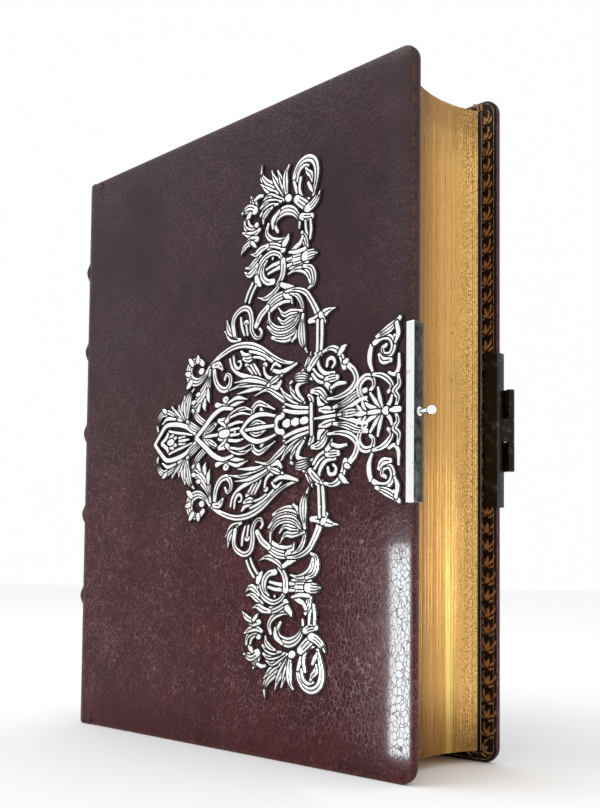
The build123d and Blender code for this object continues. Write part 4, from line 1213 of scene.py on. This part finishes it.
def tooling(name, side, y, gold):
    """Frieze of sprigs round the three free edges of a cover's inside."""
    sprig = sprig_mesh(gold)
    middle = 3.3
    x0, x1 = joint_x / MM + 6, fore_x / MM - middle
    top = book_height / MM - middle
    path = [(x0, middle), (x1 - 2, middle), (x1, middle + 2), (x1, top - 2), (x1 - 2, top), (x0, top)]
    points = [(x * MM, y, z * MM) for x, z in path]

    def build(tree, normal):
        given, result = group_inputs(tree, (
            ("Motif", "Object"), ("Spacing", "Float"), ("Seed", "Int"), ("Gold", "Material")))
        steps = steps_along(tree, given)
        motif = add_node(tree, "GeometryNodeObjectInfo", {"Object": given.outputs["Motif"]})
        face = add_node(tree, "FunctionNodeAlignRotationToVector", {
            "Rotation": aim_along(tree, steps, "X"), "Vector": normal}, axis="Z", pivot_axis="X")
        place_copies(tree, given, result, {
            "Points": steps.outputs["Points"], "Instance": motif.outputs["Geometry"],
            "Rotation": face.outputs[0]}, 0.94, 1.04, "Gold")
        return {"Motif": sprig, "Spacing": 4.7 * MM, "Seed": 3, "Gold": gold}

    made = grow(name, points, (0, -side, 0), build, gold)
    bpy.data.objects.remove(sprig)
    return made


def fillet_line(name, side, y, gold):
    """Fine gold line near the outer edge of the turn-in, and one on its inner side."""
    points, faces = [], []
    for inset, half_width in ((0.95, 0.09), (5.9, 0.09), (6.5, 0.2)):
        base = len(points)
        rows = [ring_points((inset + d) * MM, 0, -1) for d in (-half_width, half_width)]
        n = len(rows[0])
        for lift in (0.03, -0.03):
            for row in rows:
                points += [(x, y - side * lift * MM, z) for x, _, z in row]
        for k in range(n - 1):
            a, b, c, d = base + k, base + n + k, base + 2 * n + k, base + 3 * n + k
            faces += [(a, a + 1, b + 1, b), (c, d, d + 1, c + 1), (a, c, c + 1, a + 1), (b, b + 1, d + 1, d)]
        for k in (0, n - 1):
            faces.append((base + k, base + n + k, base + 3 * n + k, base + 2 * n + k))
    return closed_piece(name, points, faces, gold, smooth=False)


# ---- head and tail bands ----
def wound_band(name, z, silks):
    """Silk wound over a cord: a ring of thread for each stitch, coloured in turn."""
    half_width = 17.6 * MM
    arc = []
    for t in np.linspace(-1, 1, 60):
        y = t * half_width
        lean = math.asin(min(abs(y) / (crown_radius - 4 * MM), 0.99))
        x, _ = back_point(lean if y > 0 else -lean, 3.6 * MM)
        arc.append((x, mid_y + y, z))
    pieces = []
    for index, silk in enumerate(silks):
        def build(tree, normal, index=index, silk=silk):
            given, result = group_inputs(tree, (
                ("Spacing", "Float"), ("Thread", "Float"), ("Seed", "Int"), ("Silk", "Material")))
            steps = steps_along(tree, given)
            order = add_node(tree, "GeometryNodeInputIndex")
            turn = maths(tree, "MODULO", order.outputs[0], 2.0)
            chosen = add_node(tree, "ShaderNodeMath", {0: turn, 1: float(index), 2: 0.1}, operation="COMPARE")
            ring = add_node(tree, "GeometryNodeCurvePrimitiveCircle", {"Resolution": 10, "Radius": 0.62 * MM})
            thread = add_node(tree, "GeometryNodeCurvePrimitiveCircle", {
                "Resolution": 6, "Radius": given.outputs["Thread"]})
            coil = add_node(tree, "GeometryNodeCurveToMesh", {
                "Curve": ring.outputs[0], "Profile Curve": thread.outputs[0]})
            place_copies(tree, given, result, {
                "Points": steps.outputs["Points"], "Selection": chosen.outputs[0],
                "Instance": coil.outputs[0], "Rotation": aim_along(tree, steps, "Z")}, 0.95, 1.05, "Silk")
            return {"Spacing": 0.42 * MM, "Thread": 0.22 * MM, "Seed": 5, "Silk": silk}

        pieces.append(grow(name + "_" + str(index + 1), arc, (0, 0, 1), build, silk))
    return pieces


# ---- plain metal ----
def rounded_section(section, radius, steps=3):
    """Closed section with every corner cut round."""
    out = []
    n = len(section)
    for k in range(n):
        p, q, r = Vector(section[k - 1]), Vector(section[k]), Vector(section[(k + 1) % n])
        cut = min(radius, (p - q).length * 0.45, (r - q).length * 0.45)
        start, end = q + (p - q).normalized() * cut, q + (r - q).normalized() * cut
        for t in np.linspace(0, 1, steps):
            out.append(tuple(start * (1 - t) ** 2 + q * 2 * t * (1 - t) + end * t ** 2))
    return out


def bar_piece(name, section, low, high, radius, material, rows=24, dents=0.0, seed=1):
    """Section in the XY plane run up from low to high, with softened ends and slight dents."""
    rng = np.random.default_rng(seed)
    loop = rounded_section(section, radius)
    heights = [(low, 0.9), (low + radius * 0.3, 0.3), (low + radius, 0.0)]
    heights += [(z, 0.0) for z in np.linspace(low + radius, high - radius, rows)[1:-1]]
    heights += [(high - radius, 0.0), (high - radius * 0.3, 0.3), (high, 0.9)]
    points = []
    n = len(loop)
    for z, pull in heights:
        wobble = rng.normal(0, dents, 2) if dents else (0, 0)
        for k, (x, y) in enumerate(loop):
            before, after = Vector(loop[k - 1]), Vector(loop[(k + 1) % n])
            along = (after - before).normalized()
            inward = Vector((-along.y, along.x))
            points.append((x + inward.x * pull * radius + wobble[0],
                           y + inward.y * pull * radius + wobble[1], z))
    return closed_piece(name, points, tube_faces(len(heights), n), material)


def channel_section(side, face_width, face_thickness, sheet, lap):
    """Section of sheet metal bent round a cover's fore-edge."""
    face = front_y if side < 0 else back_y
    inner = cover_depth + sheet
    right = fore_x + sheet
    section = [
        (fore_x - face_width, face + side * face_thickness), (right, face + side * face_thickness),
        (right, face - side * inner), (fore_x - lap, face - side * inner),
        (fore_x - lap, face - side * (inner - sheet)), (fore_x, face - side * (inner - sheet)),
        (fore_x, face), (fore_x - face_width, face)]
    return section if side < 0 else section[::-1]


def barrel(name, centre, radius, bore, low, high, material, wear=0.0, seed=2):
    """Rolled knuckle: softened ends, and the seam where the sheet's edge meets the roll."""
    profile = [(bore, low + 0.06 * MM), (radius - 0.12 * MM, low), (radius, low + 0.12 * MM)]
    profile += [(radius, z) for z in np.linspace(low + 0.12 * MM, high - 0.12 * MM, 8)[1:]]
    profile += [(radius - 0.12 * MM, high), (bore, high - 0.06 * MM)]
    rng = np.random.default_rng(seed)
    points, faces = [], []
    turns = 40
    for k in range(turns):
        angle = 2 * math.pi * k / turns
        seam = math.exp(-((angle - 3.9) / 0.09) ** 2)
        for r, z in profile:
            pull = (0.16 * MM * seam if r > bore * 1.5 else 0) + wear * rng.normal()
            out = r - pull
            points.append((centre[0] + out * math.cos(angle), centre[1] + out * math.sin(angle), z))
    n = len(profile)
    for k in range(turns):
        q = (k + 1) % turns
        for j in range(n):
            faces.append((k * n + j, q * n + j, q * n + (j + 1) % n, k * n + (j + 1) % n))
    return closed_piece(name, points, faces, material)


arm_scrolls = [
    ([(5.2, 0.4), (5.0, 4.6), (7.4, 7.0), (12.6, 5.4), (18.0, 4.2), (24.0, 3.9), (30.2, 4.6), (35.0, 6.8),
      (39.6, 7.0)], (0.3, 0.42, 0.3), 0),
    ([(5.6, 0.3), (6.0, 2.6), (8.0, 4.4), (11.0, 4.6), (14.0, 3.0)], (0.3, 0.6, 0.2), 1),
    ([(14.6, 0.0), (17.0, 1.6), (20.0, 2.6), (22.4, 1.4), (21.4, 0.4)], (0.3, 0.6, 0.3), 1),
    ([(14.8, 3.6), (17.2, 3.2), (19.2, 3.4)], (0.2, 0.5, 0.2), 0),
    ([(33.0, 0.4), (34.4, 2.4), (36.4, 4.6), (39.6, 5.6)], (0.3, 0.7, 0.2), 1),
    ([(33.2, 1.6), (33.4, 3.6), (34.8, 5.6)], (0.2, 0.6, 0.2), 0),
    ([(46.6, 0.6), (46.4, 2.4), (45.0, 4.0)], (0.2, 0.5, 0.2), 0),
]


def build_metalwork(silver, bright, dark):
    """Catch plate, hinge plate with its middle knuckle, and what sits on the clasp arm."""
    sheet = 0.5 * MM
    lap = 4.0 * MM
    dents = 0.006 * MM
    low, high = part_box("catch_plate")
    section = channel_section(-1, 2.0 * MM, 0.7 * MM, sheet, lap)
    strip = bar_piece("catch_plate_bent", section, low[2], high[2], 0.16 * MM, bright,
                      rows=30, dents=dents, seed=11)
    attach(strip, "front_cover")
    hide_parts("catch_plate")
    # The hinge plate takes the dark silver: partly tarnish, partly painted shade for the side of the
    # fore-edge that lies in shade.
    low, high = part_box("hinge_plate")
    section = channel_section(1, 9.0 * MM, 0.5 * MM, sheet, lap)
    channel = bar_piece("hinge_plate_bent", section, low[2], high[2], 0.14 * MM, dark,
                        rows=30, dents=dents, seed=12)
    pin_low, pin_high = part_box("hinge_pin")
    axis = ((pin_low[0] + pin_high[0]) / 2, (pin_low[1] + pin_high[1]) / 2)
    centre_z = (pin_low[2] + pin_high[2]) / 2
    half_knuckle = 3.15 * MM
    low_z, high_z = centre_z - half_knuckle, centre_z + half_knuckle
    middle = barrel("middle_knuckle", axis, 1.15 * MM, 0.53 * MM, low_z, high_z, dark, 0.004 * MM)
    reach = 0.8 * MM
    web_section = [(fore_x + 0.5 * MM, back_y - 0.8 * MM), (axis[0] + reach, axis[1] - reach),
                   (axis[0] - reach, axis[1] + reach), (fore_x - 0.8 * MM, back_y + 0.5 * MM),
                   (fore_x - 0.8 * MM, back_y + 0.1 * MM), (fore_x + 0.1 * MM, back_y - 0.8 * MM)]
    web = bar_piece("middle_knuckle_web", web_section, low_z, high_z, 0.08 * MM, dark, rows=4)
    for piece in (channel, middle, web):
        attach(piece, "back_cover")
        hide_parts("hinge_plate")
    end = 11.7 * MM
    for word, a, b in (("lower", -end, -half_knuckle - 0.15 * MM), ("upper", half_knuckle + 0.15 * MM, end)):
        a, b = centre_z + a, centre_z + b
        knuckle = barrel(word + "_knuckle", axis, 1.16 * MM, 0.5 * MM, a, b, dark, 0.004 * MM)
        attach(knuckle, "clasp")

    def arm_face(out):
        """Places relief on the arm's outer face, where out is 1, or on its inner one, where it is -1."""
        def place(u, v, height):
            y = axis[1] + out * (0.5 + 0.4 * height) * MM
            return np.stack([axis[0] - u * MM, y, centre_z + v * MM], 1)
        return place

    raised = [([(u, v + middle_height) for u, v in path], width, lines) for path, width, lines in arm_scrolls]
    grid_u, grid_v, field = relief_field(raised, [], (4.0, 49.0), 9.0, 0.2)
    eye_place, eye_radius = 42.9, 2.4
    keep = (grid_u[:, None] - eye_place) ** 2 + grid_v[None, :] ** 2 >= eye_radius ** 2
    for word, out in (("outer", 1), ("inner", -1)):
        piece = relief_mesh("clasp_scrolls_" + word, grid_u, grid_v, field, keep, silver, arm_face(out))
        recalculate_outward(piece)
        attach(piece, "clasp")


# ---- materials of the small parts ----
def polished_silver():
    """Bright sheet silver with stains, nearly black on the leaf that wraps the edge."""
    material, tree, shader = new_material("polished_silver")
    place = object_place(tree)
    cloud = noise(tree, place, 0.35, 3.0, 0.6)
    stain = ramp(tree, cloud, 0.58, 0.75)
    colour = mix_colour(tree, stain, (0.90, 0.91, 0.90, 1), (0.62, 0.52, 0.42, 1))
    # The face that looks out past the fore-edge is coloured near black.
    facing = axes_of(tree, add_node(tree, "ShaderNodeTexCoord").outputs["Normal"])
    bent_face = ramp(tree, facing[0], 0.75, 0.95)
    rim = fore_x / MM
    on_sheet = ramp(tree, axes_of(tree, place)[0], rim + 0.6, rim + 0.7, 1.0, 0.0)
    edge_leaf = times(tree, bent_face, on_sheet)
    edge_leaf_colour = mix_colour(
        tree, ramp(tree, cloud, 0.35, 0.65), (0.014, 0.017, 0.016, 1), (0.060, 0.066, 0.062, 1))
    colour = mix_colour(tree, edge_leaf, colour, edge_leaf_colour)
    scratches = noise(tree, object_place(tree, (1.0, 1.0, 0.15), (0.05, 0.1, 0.0)), 6.0, 4.0, 0.7)
    fill(tree, shader, {
        "Base Color": colour, "Metallic": 1.0, "Roughness": ramp(tree, cloud, 0.3, 0.7, 0.12, 0.26),
        "Normal": bump(tree, scratches, 0.3, 0.00005)})
    return material


def dark_silver():
    """Silver gone brown-black, rubbed back to grey in places; on the hinge plate its darkness is partly
    painted shade.
    """
    material, tree, shader = new_material("tarnished_silver")
    place = object_place(tree)
    cloud = noise(tree, place, 0.5, 4.0, 0.65)
    rubbed = ramp(tree, cloud, 0.50, 0.80)
    colour = mix_colour(tree, rubbed, (0.020, 0.015, 0.011, 1), (0.085, 0.09, 0.08, 1))
    pits = noise(tree, place, 5.0, 3.0, 0.6)
    fill(tree, shader, {
        "Base Color": colour, "Metallic": 0.9, "Roughness": ramp(tree, cloud, 0.3, 0.7, 0.30, 0.45),
        "Normal": bump(tree, pits, 0.35, 0.00006)})
    return material


def paper_material(name, sheet, fleck, gilt_edges=True, edge=(0.50, 0.27, 0.07, 1)):
    """Paper with a faint fibre, its cut edges gilded in the edge colour, which on the back leaf is dark brown
    painted shade.
    """
    material, tree, shader = new_material(name)
    place = object_place(tree)
    fibre = noise(tree, object_place(tree, (1.0, 1.0, 0.4)), 3.0, 4.0, 0.7)
    cloud = noise(tree, place, 0.03, 3.0, 0.6)
    amount = plus(tree, times(tree, fibre, 0.5), times(tree, cloud, 0.5))
    colour = mix_colour(tree, ramp(tree, amount, 0.35, 0.65), sheet, fleck)
    if gilt_edges:
        facing = add_node(tree, "ShaderNodeTexCoord").outputs["Normal"]
        flat = maths(tree, "ABSOLUTE", axes_of(tree, facing)[1])
        cut = maths(tree, "LESS_THAN", flat, 0.5)
        colour = mix_colour(tree, cut, colour, edge)
        fill(tree, shader, {
            "Metallic": times(tree, cut, 0.8), "Roughness": ramp(tree, cut, 0.0, 1.0, 0.8, 0.42)})
    else:
        fill(tree, shader, {"Roughness": 0.8})
    fill(tree, shader, {
        "Base Color": colour, "Specular IOR Level": 0.25, "Normal": bump(tree, fibre, 0.25, 0.00005)})
    return material


def marbled_material():
    """Dark combed endpaper: wavy bands of brown, red and ochre."""
    material, tree, shader = new_material("marbled_endpaper")
    place = object_place(tree)
    push = add_node(tree, "ShaderNodeTexNoise", {"Vector": place, "Scale": 0.05, "Detail": 3.0})
    bent = add_node(tree, "ShaderNodeVectorMath", {0: push.outputs["Color"], 1: (26.0, 26.0, 26.0), 2: place},
                    operation="MULTIPLY_ADD")
    waves = add_node(tree, "ShaderNodeTexWave", {
        "Vector": bent.outputs[0], "Scale": 0.11, "Distortion": 5.0, "Detail": 3.0}, bands_direction="X")
    first = mix_colour(tree, ramp(tree, waves.outputs["Fac"], 0.2, 0.5), (0.045, 0.012, 0.010, 1),
                       (0.11, 0.03, 0.02, 1))
    second = mix_colour(tree, ramp(tree, waves.outputs["Fac"], 0.82, 0.93), first, (0.32, 0.20, 0.09, 1))
    fill(tree, shader, {"Base Color": second, "Roughness": 0.45})
    return material


def cloth_material(name, colour, other, scale):
    """Woven or twisted thread seen close: fine crossing ribs."""
    material, tree, shader = new_material(name)
    place = object_place(tree)
    fine = noise(tree, place, scale, 3.0, 0.7)
    fill(tree, shader, {
        "Base Color": mix_colour(tree, ramp(tree, fine, 0.35, 0.65), colour, other), "Roughness": 0.75,
        "Sheen Weight": 0.3, "Normal": bump(tree, fine, 0.5, 0.0001)})
    return material


def gold_tooling_material():
    """Gold leaf pressed into leather, worn off in places."""
    material, tree, shader = new_material("tooled_gold")
    place = object_place(tree)
    wear = ramp(tree, noise(tree, place, 0.8, 4.0, 0.7), 0.48, 0.62)
    colour = mix_colour(tree, wear, (0.42, 0.21, 0.075, 1), (0.06, 0.025, 0.010, 1))
    fill(tree, shader, {"Base Color": colour, "Metallic": 0.7, "Roughness": 0.42})
    return material


def dress(names, material):
    """Gives carried-over CAD nodes a material."""
    for name in names:
        node = bpy.data.objects[name]
        if not node.material_slots:
            node.data.materials.append(material)
        for slot in node.material_slots:
            slot.material = material


def build_details():
    """Boards, tooling, silk bands and metalwork, and the materials of the CAD's own solids."""
    silver = silver_material()
    bright = polished_silver()
    dark = dark_silver()
    gold = gold_tooling_material()
    board = paper_material("pasteboard_grey", (0.20, 0.15, 0.10, 1), (0.13, 0.095, 0.065, 1), False)
    for side, word in ((-1, "front"), (1, "back")):
        core = board_piece(word + "_board_core", side, board)
        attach(core, word + "_cover")
        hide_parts(word + "_board")
        inside = front_y + cover_depth if side < 0 else back_y - cover_depth
        frieze = tooling(word + "_tooled_frieze", side, inside, gold)
        lines = fillet_line(word + "_gold_lines", side, inside, gold)
        for piece in (frieze, lines):
            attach(piece, word + "_cover")
    silks = [cloth_material("cream_silk", (0.55, 0.44, 0.27, 1), (0.42, 0.31, 0.18, 1), 9.0),
             cloth_material("red_silk", (0.17, 0.018, 0.022, 1), (0.10, 0.010, 0.014, 1), 9.0)]
    for word, z in (("head", text_hi[2] + 0.55 * MM), ("tail", text_lo[2] - 0.55 * MM)):
        for piece in wound_band(word + "_band_silk", z, silks):
            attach(piece, "text_and_spine")
            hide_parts(word + "_band")
    build_ornament(silver)
    build_metalwork(silver, bright, dark)
    paper = paper_material("cream_paper", (0.72, 0.64, 0.49, 1), (0.62, 0.53, 0.38, 1))
    marbled = marbled_material()
    dress(["front_leaf"], paper)
    # Painted shade: the back leaf's edge is painted dark brown for the shade in the gap by the back board.
    dress(["back_leaf"], paper_material(
        "cream_paper_shaded_edge", (0.72, 0.64, 0.49, 1), (0.62, 0.53, 0.38, 1), True, (0.07, 0.03, 0.014, 1)))
    dress([side + part for side in ("front", "back")
           for part in ("_free_endpaper", "_pastedown", "_endpaper_stub")], marbled)
    dress(["catch_pin", "plaque_rivets", "catch_rivets"], bright)
    dress(["clasp_arm", "hinge_pin", "hinge_rivets"], dark)
    dress(["spine_lining"], cloth_material(
        "spine_lining_cloth", (0.30, 0.22, 0.14, 1), (0.20, 0.14, 0.09, 1), 4.0))
    cords = pressed_cords(cloth_material("hemp_cord", (0.32, 0.22, 0.12, 1), (0.18, 0.12, 0.06, 1), 3.0))
    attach(cords, "text_and_spine")
    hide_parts("sewing_cords")


def build_binding():
    """Covers, joints, spine and text block."""
    leather = leather_material()
    gilt = gilt_material()
    for side, word in ((-1, "front"), (1, "back")):
        cover = cover_piece(word + "_cover_skin", side, leather)
        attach(cover, word + "_cover")
        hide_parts(word + "_cover_leather")
        strip = joint_strip(word + "_joint_leather", side, leather)
        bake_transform(strip)
    spine = spine_piece(leather)
    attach(spine, "text_and_spine")
    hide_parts("spine_leather")
    block = text_block_piece(gilt)
    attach(block, "text_and_spine")
    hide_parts("text_block")


make_camera()
make_stage()
build_binding()
build_details()
